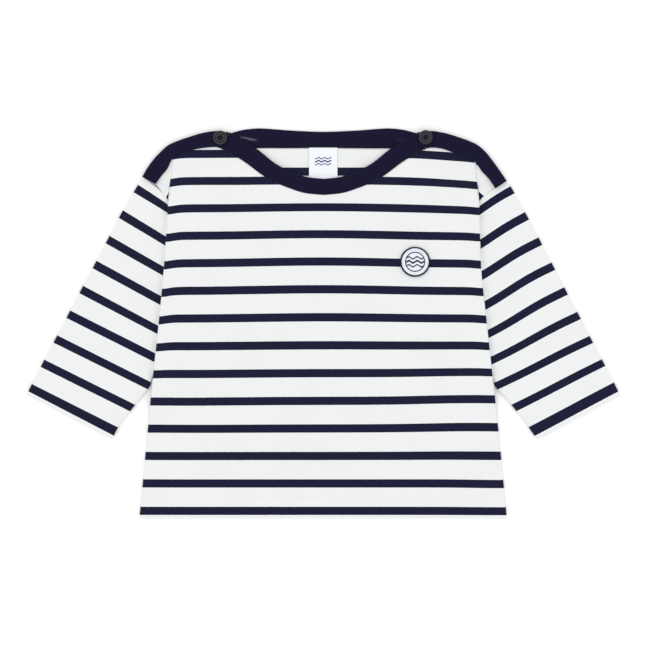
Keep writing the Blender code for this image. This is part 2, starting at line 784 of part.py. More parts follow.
def clear_scene():
    """Remove the objects that the scene starts with."""
    for obj in list(bpy.data.objects):
        bpy.data.objects.remove(obj, do_unlink=True)


def main():
    """Build every piece of the top."""
    clear_scene()
    garment = bpy.data.collections.new("breton_striped_top")
    cutters = bpy.data.collections.new("cutters")
    bpy.context.scene.collection.children.link(garment)
    bpy.context.scene.collection.children.link(cutters)
    cloth_pieces = (build_back(garment), build_front(garment),
                    build_sleeve("sleeve_right", -1, garment),
                    build_sleeve("sleeve_left", 1, garment))
    for piece in cloth_pieces:
        finish(piece, JERSEY_WHITE, JERSEY_ROUGHNESS)
    bindings = (build_back_binding(garment), build_front_binding(garment),
                build_band("shoulder_band_right", -1, garment),
                build_band("shoulder_band_left", 1, garment))
    for piece in bindings:
        finish(piece, NAVY, KNIT_ROUGHNESS)
    for piece in (build_label(garment), build_patch(garment)):
        finish(piece, SATIN_WHITE, SATIN_ROUGHNESS)
    for name, side in (("button_right", -1), ("button_left", 1)):
        finish(build_button(name, side, garment, cutters), BUTTON_NAVY, BUTTON_ROUGHNESS)


main()
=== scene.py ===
"""Looks of a baby's long-sleeved breton top, laid flat on a pale surface.

Every cloth piece is a thin modelled shell on the form of its CAD node. Sizes in the tables are
millimetres on the garment, and meshes are built in metres. Left and right are the wearer's, and
the wearer's left is at +X.
"""

from __future__ import annotations

import logging
import math
from dataclasses import dataclass, field
from enum import Enum

import bmesh
import bpy
import numpy as np
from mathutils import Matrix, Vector


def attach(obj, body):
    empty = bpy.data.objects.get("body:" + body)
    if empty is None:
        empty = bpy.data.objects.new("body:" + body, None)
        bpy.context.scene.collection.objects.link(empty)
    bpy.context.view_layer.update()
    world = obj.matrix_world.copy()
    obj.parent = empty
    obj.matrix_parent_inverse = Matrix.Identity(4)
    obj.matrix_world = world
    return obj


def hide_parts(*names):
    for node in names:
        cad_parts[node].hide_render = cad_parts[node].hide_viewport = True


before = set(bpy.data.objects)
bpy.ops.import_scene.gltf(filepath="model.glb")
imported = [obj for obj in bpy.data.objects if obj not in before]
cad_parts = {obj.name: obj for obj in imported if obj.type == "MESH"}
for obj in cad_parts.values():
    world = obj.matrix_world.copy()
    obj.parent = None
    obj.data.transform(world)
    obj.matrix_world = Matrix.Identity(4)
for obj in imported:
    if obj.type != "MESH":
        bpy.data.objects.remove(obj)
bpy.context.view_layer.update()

MM = 0.001
LOG = logging.getLogger("breton_top")
Array = np.ndarray


class Side(Enum):
    """The wearer's two sides, by the sign of X."""

    RIGHT = -1
    LEFT = 1


class Weight(Enum):
    """Thread weights, as the radius of a stitch in millimetres."""

    FINE = 0.17
    STURDY = 0.24


def ease(value: Array | float, low: float, high: float) -> Array:
    """Rise smoothly from 0 at low to 1 at high.

    Args:
        value: Where to read the rise.
        low: The value at which it starts.
        high: The value at which it ends.

    Returns:
        The rise, between 0 and 1.
    """
    share = np.clip((np.asarray(value, float) - low) / (high - low), 0.0, 1.0)
    return share * share * (3.0 - 2.0 * share)


class SmoothCurve:
    """A smooth function through a few points, without overshoot between them."""

    def __init__(self, points: list[tuple[float, float]]) -> None:
        """Keep the points and work out the slope at each.

        Args:
            points: Pairs of x and y, sorted by x.
        """
        self.x = np.array([point[0] for point in points], float)
        self.y = np.array([point[1] for point in points], float)
        steps = np.diff(self.y) / np.diff(self.x)
        slope = np.empty_like(self.x)
        slope[0], slope[-1] = steps[0], steps[-1]
        before, after = steps[:-1], steps[1:]
        product = before * after
        total = np.where(product > 0.0, before + after, 1.0)
        slope[1:-1] = np.where(product > 0.0, 2.0 * product / total, 0.0)
        self.slope = slope

    def __call__(self, x: Array | float) -> Array:
        """Return the curve's value at x, held level past its ends."""
        x = np.clip(np.asarray(x, float), self.x[0], self.x[-1])
        i = np.clip(np.searchsorted(self.x, x, side="right") - 1, 0, len(self.x) - 2)
        run = self.x[i + 1] - self.x[i]
        t = (x - self.x[i]) / run
        rise = (self.y[i + 1] - self.y[i]) * t * t * (3.0 - 2.0 * t)
        into = self.slope[i] * run * t * (1.0 - t) ** 2
        out = self.slope[i + 1] * run * t * t * (1.0 - t)
        return self.y[i] + rise + into - out


@dataclass(frozen=True)
class SideRow:
    """One height of the body, with its edges' distances from the middle."""

    y: float
    right: float
    left: float


@dataclass(frozen=True)
class SleeveRow:
    """One straight line across a sleeve, and how far along the cloth it lies."""

    along: float
    outer_x: float
    outer_y: float
    inner_x: float
    inner_y: float
    hidden: float
    lift: float


@dataclass(frozen=True)
class ShoulderRow:
    """One section of a shoulder band, outer edge and inner edge."""

    outer_x: float
    outer_y: float
    inner_x: float
    inner_y: float
    lap: float


@dataclass(frozen=True)
class NeckRow:
    """One station of the front neckline, its inner edge and the binding's width."""

    x: float
    y: float
    width: float


@dataclass(frozen=True)
class BackNeckRow:
    """One station of the back binding, with its two edges' heights."""

    share: float
    top: float
    low: float


@dataclass(frozen=True)
class Drift:
    """A soft shift of the stripes where the cloth lies a little uneven."""

    x: float
    y: float
    amount: float
    reach_x: float
    reach_y: float


@dataclass(frozen=True)
class Crease:
    """A soft ridge or trough in the cloth, from one end to the other."""

    x0: float
    y0: float
    x1: float
    y1: float
    height: float
    width: float

    def relief(self, x: Array, y: Array) -> Array:
        """Return the crease's height at places on the cloth.

        Args:
            x: Places across the garment.
            y: Places along the garment.

        Returns:
            The height to add, fading to nothing at the crease's ends and sides.
        """
        run_x, run_y = self.x1 - self.x0, self.y1 - self.y0
        length = math.hypot(run_x, run_y)
        along = ((x - self.x0) * run_x + (y - self.y0) * run_y) / length
        across = ((x - self.x0) * run_y - (y - self.y0) * run_x) / length
        share = np.clip(along / length, 0.0, 1.0)
        over = np.abs(along - share * length)
        body = np.sin(np.pi * (0.12 + 0.76 * share))
        return self.height * body * np.exp(-((across / self.width) ** 2 + (over / self.width) ** 2))


@dataclass
class Cut:
    """The garment's sizes, and the curves and heights worked out from them."""

    wall: float = 1.2
    hem_y: float = -161.7
    corner_y: float = 100.0
    front_rest: float = 1.5
    loft: float = 0.9
    loft_run: float = 30.0
    sleeve_lift: float = 3.3
    plateau: float = 24.0
    run: float = 36.0
    fold_top_x: float = 125.0
    neck_half: float = 77.5
    neck_corner_x: float = 84.6
    stripe_pitch: float = 22.78
    stripe_width: float = 6.85
    front_stripe_y: float = 143.75
    sides: tuple[SideRow, ...] = (
        SideRow(-161.7, 152.9, 152.1),
        SideRow(-134.3, 150.4, 149.7),
        SideRow(-88.6, 146.1, 145.3),
        SideRow(-43.0, 141.5, 140.2),
        SideRow(2.7, 136.6, 135.2),
        SideRow(48.3, 132.4, 130.7),
        SideRow(100.0, 129.0, 129.2),
    )
    shoulders: dict[Side, tuple[ShoulderRow, ...]] = field(default_factory=lambda: {
        Side.RIGHT: (
            ShoulderRow(150.6, 121.8, 139.2, 115.4, 0.22),
            ShoulderRow(146.0, 129.6, 134.4, 122.4, 0.22),
            ShoulderRow(140.5, 136.9, 129.6, 128.2, 0.22),
            ShoulderRow(134.8, 142.9, 126.4, 135.0, 0.24),
            ShoulderRow(128.3, 148.3, 122.5, 140.0, 0.26),
            ShoulderRow(119.5, 152.1, 115.6, 142.2, 0.28),
            ShoulderRow(110.8, 155.0, 106.7, 144.2, 0.30),
            ShoulderRow(101.5, 157.8, 98.0, 145.6, 0.40),
            ShoulderRow(89.0, 159.7, 90.4, 146.2, 0.70),
            ShoulderRow(77.9, 158.4, 84.7, 145.0, 0.97),
        ),
        Side.LEFT: (
            ShoulderRow(152.1, 118.2, 142.4, 111.6, 0.22),
            ShoulderRow(146.2, 126.9, 136.8, 120.2, 0.22),
            ShoulderRow(140.9, 134.3, 131.0, 126.4, 0.22),
            ShoulderRow(135.0, 141.8, 126.8, 133.0, 0.24),
            ShoulderRow(127.6, 148.2, 122.3, 136.7, 0.26),
            ShoulderRow(119.8, 151.8, 115.5, 138.9, 0.28),
            ShoulderRow(111.0, 154.9, 107.0, 141.8, 0.30),
            ShoulderRow(100.0, 158.1, 98.0, 144.8, 0.40),
            ShoulderRow(88.5, 159.7, 90.5, 145.7, 0.70),
            ShoulderRow(77.9, 158.4, 84.7, 145.0, 0.97),
        ),
    })
    neck: tuple[NeckRow, ...] = (
        NeckRow(0.0, 119.8, 13.2),
        NeckRow(12.0, 121.0, 13.2),
        NeckRow(24.0, 124.8, 13.3),
        NeckRow(38.0, 131.3, 13.8),
        NeckRow(56.0, 145.2, 14.6),
        NeckRow(68.0, 153.4, 15.0),
        NeckRow(77.5, 158.2, 15.0),
    )
    back_neck: tuple[BackNeckRow, ...] = (
        BackNeckRow(-1.0, 157.9, 146.0),
        BackNeckRow(-0.84, 160.9, 146.1),
        BackNeckRow(-0.70, 161.8, 146.1),
        BackNeckRow(-0.36, 160.1, 145.9),
        BackNeckRow(0.0, 159.0, 146.6),
        BackNeckRow(0.36, 160.1, 145.5),
        BackNeckRow(0.70, 161.8, 145.3),
        BackNeckRow(0.84, 160.9, 145.4),
        BackNeckRow(1.0, 157.9, 145.6),
    )
    droop_right: float = 1.5
    droop_left: float = 0.8
    droop_reach: float = 8.0
    back_top_half: float = 77.2
    back_low_half: float = 83.3
    drifts: tuple[Drift, ...] = (
        Drift(0.0, 55.0, -1.93, 75.0, 75.0),
        Drift(128.0, 128.0, 3.25, 38.0, 36.0),
        Drift(124.0, -62.0, -1.77, 50.0, 40.0),
        Drift(-100.0, -62.0, 0.39, 48.0, 34.0),
        Drift(-90.0, 60.0, -0.24, 60.0, 60.0),
        Drift(60.0, -60.0, -0.15, 50.0, 60.0),
        Drift(150.0, -135.0, 0.64, 34.0, 26.0),
    )
    creases: tuple[Crease, ...] = (
        Crease(-120.0, 96.0, -74.0, 112.0, 0.45, 9.0),
        Crease(-119.0, 70.0, -60.0, 88.0, 0.35, 11.0),
        Crease(119.0, 92.0, 84.0, 118.0, 0.50, 8.0),
        Crease(121.0, 60.0, 66.0, 84.0, 0.32, 12.0),
        Crease(112.0, 128.0, 92.0, 100.0, -0.35, 7.0),
        Crease(-100.0, 10.0, -20.0, 22.0, 0.28, 16.0),
        Crease(30.0, -20.0, 118.0, -44.0, 0.32, 15.0),
        Crease(-128.0, -92.0, -40.0, -70.0, 0.26, 17.0),
        Crease(20.0, -110.0, 126.0, -122.0, 0.28, 15.0),
        Crease(-60.0, -148.0, 10.0, -120.0, -0.22, 14.0),
        Crease(-30.0, 66.0, 40.0, 52.0, 0.25, 18.0),
    )

    def __post_init__(self) -> None:
        """Work out the curves from the tables."""
        self.side_curves = {
            Side.RIGHT: SmoothCurve([(row.y, row.right) for row in self.sides]),
            Side.LEFT: SmoothCurve([(row.y, row.left) for row in self.sides]),
        }
        self.neck_y = SmoothCurve([(row.x, row.y) for row in self.neck])
        self.neck_width = SmoothCurve([(row.x, row.width) for row in self.neck])
        self.shoulder_y = {}
        self.lap_y = {}
        self.band_inner_y = {}
        for side, rows in self.shoulders.items():
            inwards = rows[::-1]
            edge = [(row.outer_x, row.outer_y) for row in inwards]
            self.shoulder_y[side] = SmoothCurve([(0.0, 159.0), (56.0, 160.4)] + edge)
            self.band_inner_y[side] = SmoothCurve([(row.inner_x, row.inner_y) for row in inwards])
            self.lap_y[side] = SmoothCurve([
                (row.outer_x + (row.inner_x - row.outer_x) * row.lap,
                 row.outer_y + (row.inner_y - row.outer_y) * row.lap) for row in inwards])
        stations = np.linspace(0.0, self.neck_half, 60)
        outer = self.neck_edges(stations)[1]
        self.neck_outer_y = SmoothCurve([(float(x), float(y)) for x, y in outer])
        self.back_top = SmoothCurve([(row.share, row.top) for row in self.back_neck])
        self.back_low = SmoothCurve([(row.share, row.low) for row in self.back_neck])

    def side_x(self, x_sign: Array | float, y: Array) -> Array:
        """Return the body's half width on the side of each sign, at each height."""
        right = self.side_curves[Side.RIGHT](y)
        left = self.side_curves[Side.LEFT](y)
        return np.where(np.asarray(x_sign) > 0.0, left, right)

    def neck_edges(self, x: Array) -> tuple[Array, Array]:
        """Return the front binding's inner and outer edge points at distances x.

        Args:
            x: Distances from the middle, up to the neck's half width.

        Returns:
            Two arrays of points, the inner edge and the outer edge.
        """
        x = np.asarray(x, float)
        high = np.minimum(x + 0.5, self.neck_half)
        low = np.maximum(x - 0.5, -0.5)
        slope = (self.neck_y(high) - self.neck_y(np.abs(low))) / (high - low)
        length = np.sqrt(1.0 + slope * slope)
        inner = np.stack([x, self.neck_y(x)], axis=-1)
        normal = np.stack([slope / length, -1.0 / length], axis=-1)
        return inner, inner + normal * self.neck_width(x)[..., None]

    def front_low(self, x: Array, y: Array) -> Array:
        """Return the height of the front panel's lower face.

        Args:
            x: Places across the garment.
            y: Places along the garment.

        Returns:
            Heights, with the loft, the tuck over the sleeves and the small creases.
        """
        x, y = np.broadcast_arrays(np.asarray(x, float), np.asarray(y, float))
        away = np.abs(x)
        from_side = self.side_x(x, y) - away
        shoulder = np.where(x > 0.0, self.shoulder_y[Side.LEFT](away),
                            self.shoulder_y[Side.RIGHT](away))
        inside = ease(from_side, 0.0, self.loft_run) * ease(shoulder - y, 0.0, self.loft_run)
        inside = inside * ease(y - self.hem_y, 0.0, self.loft_run)
        across = 1.0 - ease(from_side, self.plateau, self.plateau + self.run)
        up = ease(y, -84.0, -53.0) * (1.0 - ease(y, 106.0, 126.0))
        relief = sum(crease.relief(x, y) for crease in self.creases)
        settled = ease(from_side, 3.0, 16.0) * ease(y - self.hem_y, 1.0, 16.0)
        settled = settled * ease(shoulder - y, 14.0, 30.0)
        return self.front_rest + self.loft * inside + self.sleeve_lift * across * up + relief * settled

    def front_top(self, x: Array, y: Array) -> Array:
        """Return the height of the front panel's upper face."""
        return self.front_low(x, y) + self.wall

    def stripe_drift(self, x: Array, y: Array) -> Array:
        """Return how far the front's stripes lie from level at each place."""
        total = np.zeros(np.broadcast(x, y).shape)
        for drift in self.drifts:
            reach = ((x - drift.x) / drift.reach_x) ** 2 + ((y - drift.y) / drift.reach_y) ** 2
            total = total + drift.amount * np.exp(-reach)
        from_side = self.side_x(x, y) - np.abs(x)
        droop = np.where(np.asarray(x) > 0.0, self.droop_left, self.droop_right)
        high = ease(y, -70.0, 10.0)
        return total + droop * high * np.exp(-((from_side / self.droop_reach) ** 2))


CUT = Cut()


def edge_steps(length: float, spacing: float, fine: tuple[float, ...] = (0.0, 0.12, 0.35, 0.7, 1.2)) -> Array:
    """Return distances along a cloth edge to edge, close together near both edges.

    Args:
        length: The whole distance.
        spacing: About how far apart the inner ones are.
        fine: Distances of the first few from an edge.

    Returns:
        The distances, from 0 to length.
    """
    start = np.array(fine)
    inner = length - 2.0 * fine[-1]
    count = max(2, int(round(inner / spacing)))
    middle = fine[-1] + inner * np.arange(1, count) / count
    return np.concatenate([start, middle, length - start[::-1]])


def rounded(distance: Array, wall: float, reach: float = 0.0) -> Array:
    """Return the cloth's thickness at distances from its rounded edge."""
    reach = reach or wall * 0.55
    share = 1.0 - np.clip(np.asarray(distance, float) / reach, 0.0, 1.0)
    return wall * np.sqrt(np.maximum(0.05, 1.0 - share * share))


def mesh_object(name: str, points: Array, faces: Array, uv: Array | None = None) -> bpy.types.Object:
    """Make an object from points in millimetres and four-cornered faces.

    Args:
        name: The object's name.
        points: One row of x, y and z for each vertex.
        faces: One row of four vertex numbers for each face.
        uv: One row of cloth coordinates in millimetres for each vertex.

    Returns:
        The object, linked to the scene, with smooth faces.
    """
    mesh = bpy.data.meshes.new(name)
    mesh.from_pydata((points * MM).tolist(), [], faces.tolist())
    mesh.update()
    if uv is not None:
        layer = mesh.uv_layers.new(name="cloth")
        corners = np.empty(len(mesh.loops), dtype=np.int32)
        mesh.loops.foreach_get("vertex_index", corners)
        layer.data.foreach_set("uv", (uv * MM)[corners].astype(np.float32).ravel())
    mesh.shade_smooth()
    obj = bpy.data.objects.new(name, mesh)
    bpy.context.scene.collection.objects.link(obj)
    return obj


def grid_quads(rows: int, columns: int, closed: bool = False, start: int = 0) -> Array:
    """Return the quads of a grid of vertices stored row after row."""
    wide = columns if closed else columns - 1
    r, c = np.meshgrid(np.arange(rows - 1), np.arange(wide), indexing="ij")
    n = (c + 1) % columns
    quads = np.stack([r * columns + c, r * columns + n, (r + 1) * columns + n,
                      (r + 1) * columns + c], axis=-1)
    return quads.reshape(-1, 4) + start


def grid_normals(mid: Array) -> Array:
    """Return the unit normals of a grid of points."""
    along = np.gradient(mid, axis=0)
    across = np.gradient(mid, axis=1)
    normal = np.cross(across, along)
    length = np.linalg.norm(normal, axis=-1, keepdims=True)
    flat = np.zeros_like(normal)
    flat[..., 2] = 1.0
    return np.where(length > 1e-9, normal / np.maximum(length, 1e-9), flat)


def cloth_shell(name: str, mid: Array, thickness: Array, uv: Array) -> bpy.types.Object:
    """Make a cloth panel with rounded edges from its middle surface.

    Args:
        name: The object's name.
        mid: Points of the middle surface, rows by columns by 3.
        thickness: The cloth's thickness at each point.
        uv: Cloth coordinates at each point.

    Returns:
        The panel as a closed mesh.
    """
    rows, columns = thickness.shape
    lift = grid_normals(mid) * thickness[..., None] / 2.0
    count = rows * columns
    points = np.concatenate([(mid + lift).reshape(-1, 3), (mid - lift).reshape(-1, 3)])
    upper = grid_quads(rows, columns)
    lower = grid_quads(rows, columns, start=count)[:, ::-1]
    index = np.arange(count).reshape(rows, columns)
    rim = np.concatenate([index[0, :-1], index[:-1, -1], index[-1, :0:-1], index[:0:-1, 0]])
    after = np.roll(rim, -1)
    sides = np.stack([rim, rim + count, after + count, after], axis=-1)
    faces = np.concatenate([upper, lower, sides])
    cloth = np.concatenate([uv.reshape(-1, 2), uv.reshape(-1, 2)])
    return mesh_object(name, points, faces, cloth)


def strip_shell(name: str, sections: Array, uv: Array) -> bpy.types.Object:
    """Make a bound strip from closed sections that follow each other along it.

    Args:
        name: The object's name.
        sections: Points, section by section.
        uv: Cloth coordinates at each point.

    Returns:
        The strip as a closed mesh with drawn-in ends.
    """
    rows, columns = sections.shape[:2]
    middle_first, middle_last = sections[0].mean(axis=0), sections[-1].mean(axis=0)
    ends = np.stack([middle_first, middle_last])
    points = np.concatenate([sections.reshape(-1, 3), ends])
    around = np.arange(columns)
    following = (around + 1) % columns
    first = np.stack([following, around, np.full(columns, rows * columns)], axis=-1)
    last_start = (rows - 1) * columns
    last = np.stack([around + last_start, following + last_start,
                     np.full(columns, rows * columns + 1)], axis=-1)
    quads = grid_quads(rows, columns, closed=True)
    faces = quads.tolist() + first.tolist() + last.tolist()
    cloth = np.concatenate([uv.reshape(-1, 2), uv[0].mean(axis=0)[None], uv[-1].mean(axis=0)[None]])
    mesh = bpy.data.meshes.new(name)
    mesh.from_pydata((points * MM).tolist(), [], faces)
    mesh.update()
    layer = mesh.uv_layers.new(name="cloth")
    corners = np.empty(len(mesh.loops), dtype=np.int32)
    mesh.loops.foreach_get("vertex_index", corners)
    layer.data.foreach_set("uv", (cloth * MM)[corners].astype(np.float32).ravel())
    turn_outwards(mesh)
    mesh.shade_smooth()
    obj = bpy.data.objects.new(name, mesh)
    bpy.context.scene.collection.objects.link(obj)
    return obj


def turn_outwards(mesh: bpy.types.Mesh) -> None:
    """Turn a closed mesh's faces to point out of it."""
    shape = bmesh.new()
    shape.from_mesh(mesh)
    bmesh.ops.recalc_face_normals(shape, faces=shape.faces)
    shape.to_mesh(mesh)
    shape.free()


def paint_fold_highlight(obj: bpy.types.Object, folds: tuple[Crease, ...]) -> None:
    """Paint a pale highlight along a strip's sharp folds, as an attribute for its finish to read.

    Args:
        obj: The strip.
        folds: The folds, whose heights here are shares of the full painted highlight.
    """
    count = len(obj.data.vertices)
    places = np.empty(count * 3)
    obj.data.vertices.foreach_get("co", places)
    places = places.reshape(-1, 3) / MM
    fold_highlight = sum((fold.relief(places[:, 0], places[:, 1]) for fold in folds), np.zeros(count))
    marks = obj.data.attributes.new("fold_highlight", "FLOAT", "POINT")
    marks.data.foreach_set("value", np.clip(fold_highlight, 0.0, 1.0))


def section_round(middle: Array, wall: float) -> Array:
    """Return the closed outline of a strip of cloth round its middle line.

    Args:
        middle: Points of distance and height, from one edge to the other.
        wall: The cloth's thickness.

    Returns:
        The outline's points, along one face and back along the other.
    """
    run = np.gradient(middle, axis=0)
    run = run / np.linalg.norm(run, axis=1, keepdims=True)
    normal = np.stack([-run[:, 1], run[:, 0]], axis=1)
    steps = np.linalg.norm(np.diff(middle, axis=0), axis=1)
    along = np.concatenate([[0.0], np.cumsum(steps)])
    edge = np.minimum(along, along[-1] - along)
    half = rounded(edge, wall)[:, None] / 2.0
    return np.concatenate([middle + normal * half, (middle - normal * half)[::-1]])


class Shader:
    """A small helper that lays out the nodes of one material."""

    def __init__(self, name: str) -> None:
        """Start a material with its surface shader.

        Args:
            name: The finish's name.
        """
        self.material = bpy.data.materials.new(name)
        self.material.use_nodes = True
        self.tree = self.material.node_tree
        self.surface = self.tree.nodes["Principled BSDF"]

    def node(self, kind: str, **settings: object) -> bpy.types.Node:
        """Add a node with its settings."""
        added = self.tree.nodes.new(kind)
        for key, value in settings.items():
            setattr(added, key, value)
        return added

    def link(self, source: bpy.types.NodeSocket, target: bpy.types.NodeSocket) -> None:
        """Join two sockets."""
        self.tree.links.new(source, target)

    def feed(self, socket: bpy.types.NodeSocket, value: object) -> None:
        """Give a socket a number, a colour or another node's output."""
        if isinstance(value, bpy.types.NodeSocket):
            self.link(value, socket)
        else:
            socket.default_value = value

    def maths(self, operation: str, *values: object) -> bpy.types.NodeSocket:
        """Return the result of a sum on numbers or sockets."""
        added = self.node("ShaderNodeMath", operation=operation)
        for socket, value in zip(added.inputs, values):
            self.feed(socket, value)
        return added.outputs[0]

    def mix(self, share: object, first: object, second: object) -> bpy.types.NodeSocket:
        """Return a blend of two colours."""
        added = self.node("ShaderNodeMix", data_type="RGBA")
        self.feed(added.inputs[0], share)
        self.feed(added.inputs[6], first)
        self.feed(added.inputs[7], second)
        return added.outputs[2]

    def cloth_axes(self) -> tuple[bpy.types.NodeSocket, bpy.types.NodeSocket, bpy.types.NodeSocket]:
        """Return the cloth coordinate, and its two parts across and along."""
        coordinate = self.node("ShaderNodeUVMap", uv_map="cloth").outputs[0]
        parts = self.node("ShaderNodeSeparateXYZ")
        self.link(coordinate, parts.inputs[0])
        return coordinate, parts.outputs[0], parts.outputs[1]

    def noise(self, coordinate: bpy.types.NodeSocket, scale: float, detail: float = 2.0) -> bpy.types.NodeSocket:
        """Return a soft random value over the cloth."""
        added = self.node("ShaderNodeTexNoise")
        self.link(coordinate, added.inputs["Vector"])
        added.inputs["Scale"].default_value = scale
        added.inputs["Detail"].default_value = detail
        return added.outputs[0]

    def knit(self, across: object, along: object, wale: float, course: float) -> bpy.types.NodeSocket:
        """Return the height of plain knit: rows of small V stitches.

        Args:
            across: The cloth coordinate across the stitches' columns.
            along: The cloth coordinate along them.
            wale: The width of one column of stitches, in metres.
            course: The height of one row of stitches, in metres.

        Returns:
            A height between 0 and 1.
        """
        column = self.maths("MULTIPLY", across, math.pi / wale)
        ridge = self.maths("ABSOLUTE", self.maths("SINE", column))
        lean = self.maths("MULTIPLY", ridge, 1.1 * math.pi)
        row = self.maths("ADD", self.maths("MULTIPLY", along, 2.0 * math.pi / course), lean)
        loop = self.maths("MULTIPLY_ADD", self.maths("SINE", row), 0.5, 0.5)
        return self.maths("MULTIPLY", self.maths("POWER", ridge, 0.6),
                          self.maths("MULTIPLY_ADD", loop, 0.5, 0.5))

    def bump(self, height: bpy.types.NodeSocket, depth: float, strength: float = 1.0) -> None:
        """Raise the surface by a height that is at most depth metres."""
        added = self.node("ShaderNodeBump")
        added.inputs["Strength"].default_value = strength
        added.inputs["Distance"].default_value = depth
        self.link(height, added.inputs["Height"])
        self.link(added.outputs[0], self.surface.inputs["Normal"])

    def surface_values(self, roughness: float, sheen: float = 0.0, sheen_roughness: float = 0.5,
                       specular: float = 0.3) -> None:
        """Set the values that are the same all over."""
        self.surface.inputs["Roughness"].default_value = roughness
        self.surface.inputs["Sheen Weight"].default_value = sheen
        self.surface.inputs["Sheen Roughness"].default_value = sheen_roughness
        self.surface.inputs["Specular IOR Level"].default_value = specular


@dataclass(frozen=True)
class StripedJersey:
    """Fine cotton jersey, white with knitted navy stripes."""

    white: tuple[float, float, float, float] = (0.785, 0.797, 0.80, 1.0)
    navy: tuple[float, float, float, float] = (0.0095, 0.0102, 0.0330, 1.0)
    wale: float = 0.00095
    course: float = 0.00080
    wander: float = 0.00035

    def make(self, name: str) -> bpy.types.Material:
        """Return the material, with its stripes laid out in cloth coordinates."""
        shader = Shader(name)
        coordinate, across, along = shader.cloth_axes()
        pitch, first = CUT.stripe_pitch * MM, CUT.front_stripe_y * MM
        step = shader.maths("SNAP", across, self.wale)
        course_noise = shader.node("ShaderNodeTexNoise")
        place = shader.node("ShaderNodeCombineXYZ")
        shader.link(step, place.inputs[0])
        shader.link(shader.maths("SNAP", along, pitch / 3.0), place.inputs[1])
        shader.link(place.outputs[0], course_noise.inputs["Vector"])
        course_noise.inputs["Scale"].default_value = 900.0
        jog = shader.maths("MULTIPLY_ADD", course_noise.outputs[0], self.wander, -0.5 * self.wander)
        fallen = shader.maths("SUBTRACT", first, shader.maths("ADD", along, jog))
        phase = shader.maths("FRACT", shader.maths("DIVIDE", fallen, pitch))
        inked = shader.maths("LESS_THAN", phase, CUT.stripe_width / CUT.stripe_pitch)
        cloud = shader.noise(coordinate, 22.0, 3.0)
        fleck = shader.noise(coordinate, 1400.0, 1.0)
        shade = shader.maths("ADD", shader.maths("MULTIPLY_ADD", cloud, 0.05, 0.95),
                             shader.maths("MULTIPLY_ADD", fleck, 0.05, -0.025))
        knit = shader.knit(across, along, self.wale, self.course)
        plain = shader.mix(inked, self.white, self.navy)
        dimmed = shader.node("ShaderNodeVectorMath", operation="SCALE")
        shader.link(plain, dimmed.inputs[0])
        # Painted shade: the knit's grooves are darkened a little, on top of the soft random tone.
        tone_and_groove_shade = shader.maths("MULTIPLY", shade, shader.maths("MULTIPLY_ADD", knit, 0.12, 0.92))
        shader.link(tone_and_groove_shade, dimmed.inputs["Scale"])
        shader.link(dimmed.outputs[0], shader.surface.inputs["Base Color"])
        shader.bump(knit, 0.00012, 0.55)
        shader.surface_values(0.92, 0.05, 0.6, 0.06)
        return shader.material


@dataclass(frozen=True)
class NavyKnit:
    """Dense navy knit of the bindings, ribbed along its length."""

    dark: tuple[float, float, float, float] = (0.0058, 0.0050, 0.0205, 1.0)
    light: tuple[float, float, float, float] = (0.0092, 0.0082, 0.0290, 1.0)
    # Painted highlight: the pale colour mixed in along the sharp folds marked on the strip.
    fold_highlight_colour: tuple[float, float, float, float] = (0.19, 0.19, 0.22, 1.0)
    rib: float = 0.0011
    course: float = 0.0009

    def make(self, name: str) -> bpy.types.Material:
        """Return the material."""
        shader = Shader(name)
        coordinate, across, along = shader.cloth_axes()
        knit = shader.knit(across, along, self.rib, self.course)
        cloud = shader.noise(coordinate, 40.0, 3.0)
        # Painted shade with random tone: the knit's grooves lean towards the dark navy, and a soft cloud varies it at
        # random.
        share = shader.maths("ADD", shader.maths("MULTIPLY", knit, 0.6), shader.maths("MULTIPLY", cloud, 0.4))
        # Painted highlight: the attribute marks sharp fold crests, which are mixed towards a pale colour.
        fold_highlight = shader.node("ShaderNodeAttribute", attribute_name="fold_highlight").outputs["Fac"]
        colour = shader.mix(fold_highlight, shader.mix(share, self.dark, self.light), self.fold_highlight_colour)
        shader.link(colour, shader.surface.inputs["Base Color"])
        shader.bump(knit, 0.00016, 0.6)
        shader.surface_values(0.88, 0.04, 0.5, 0.07)
        return shader.material


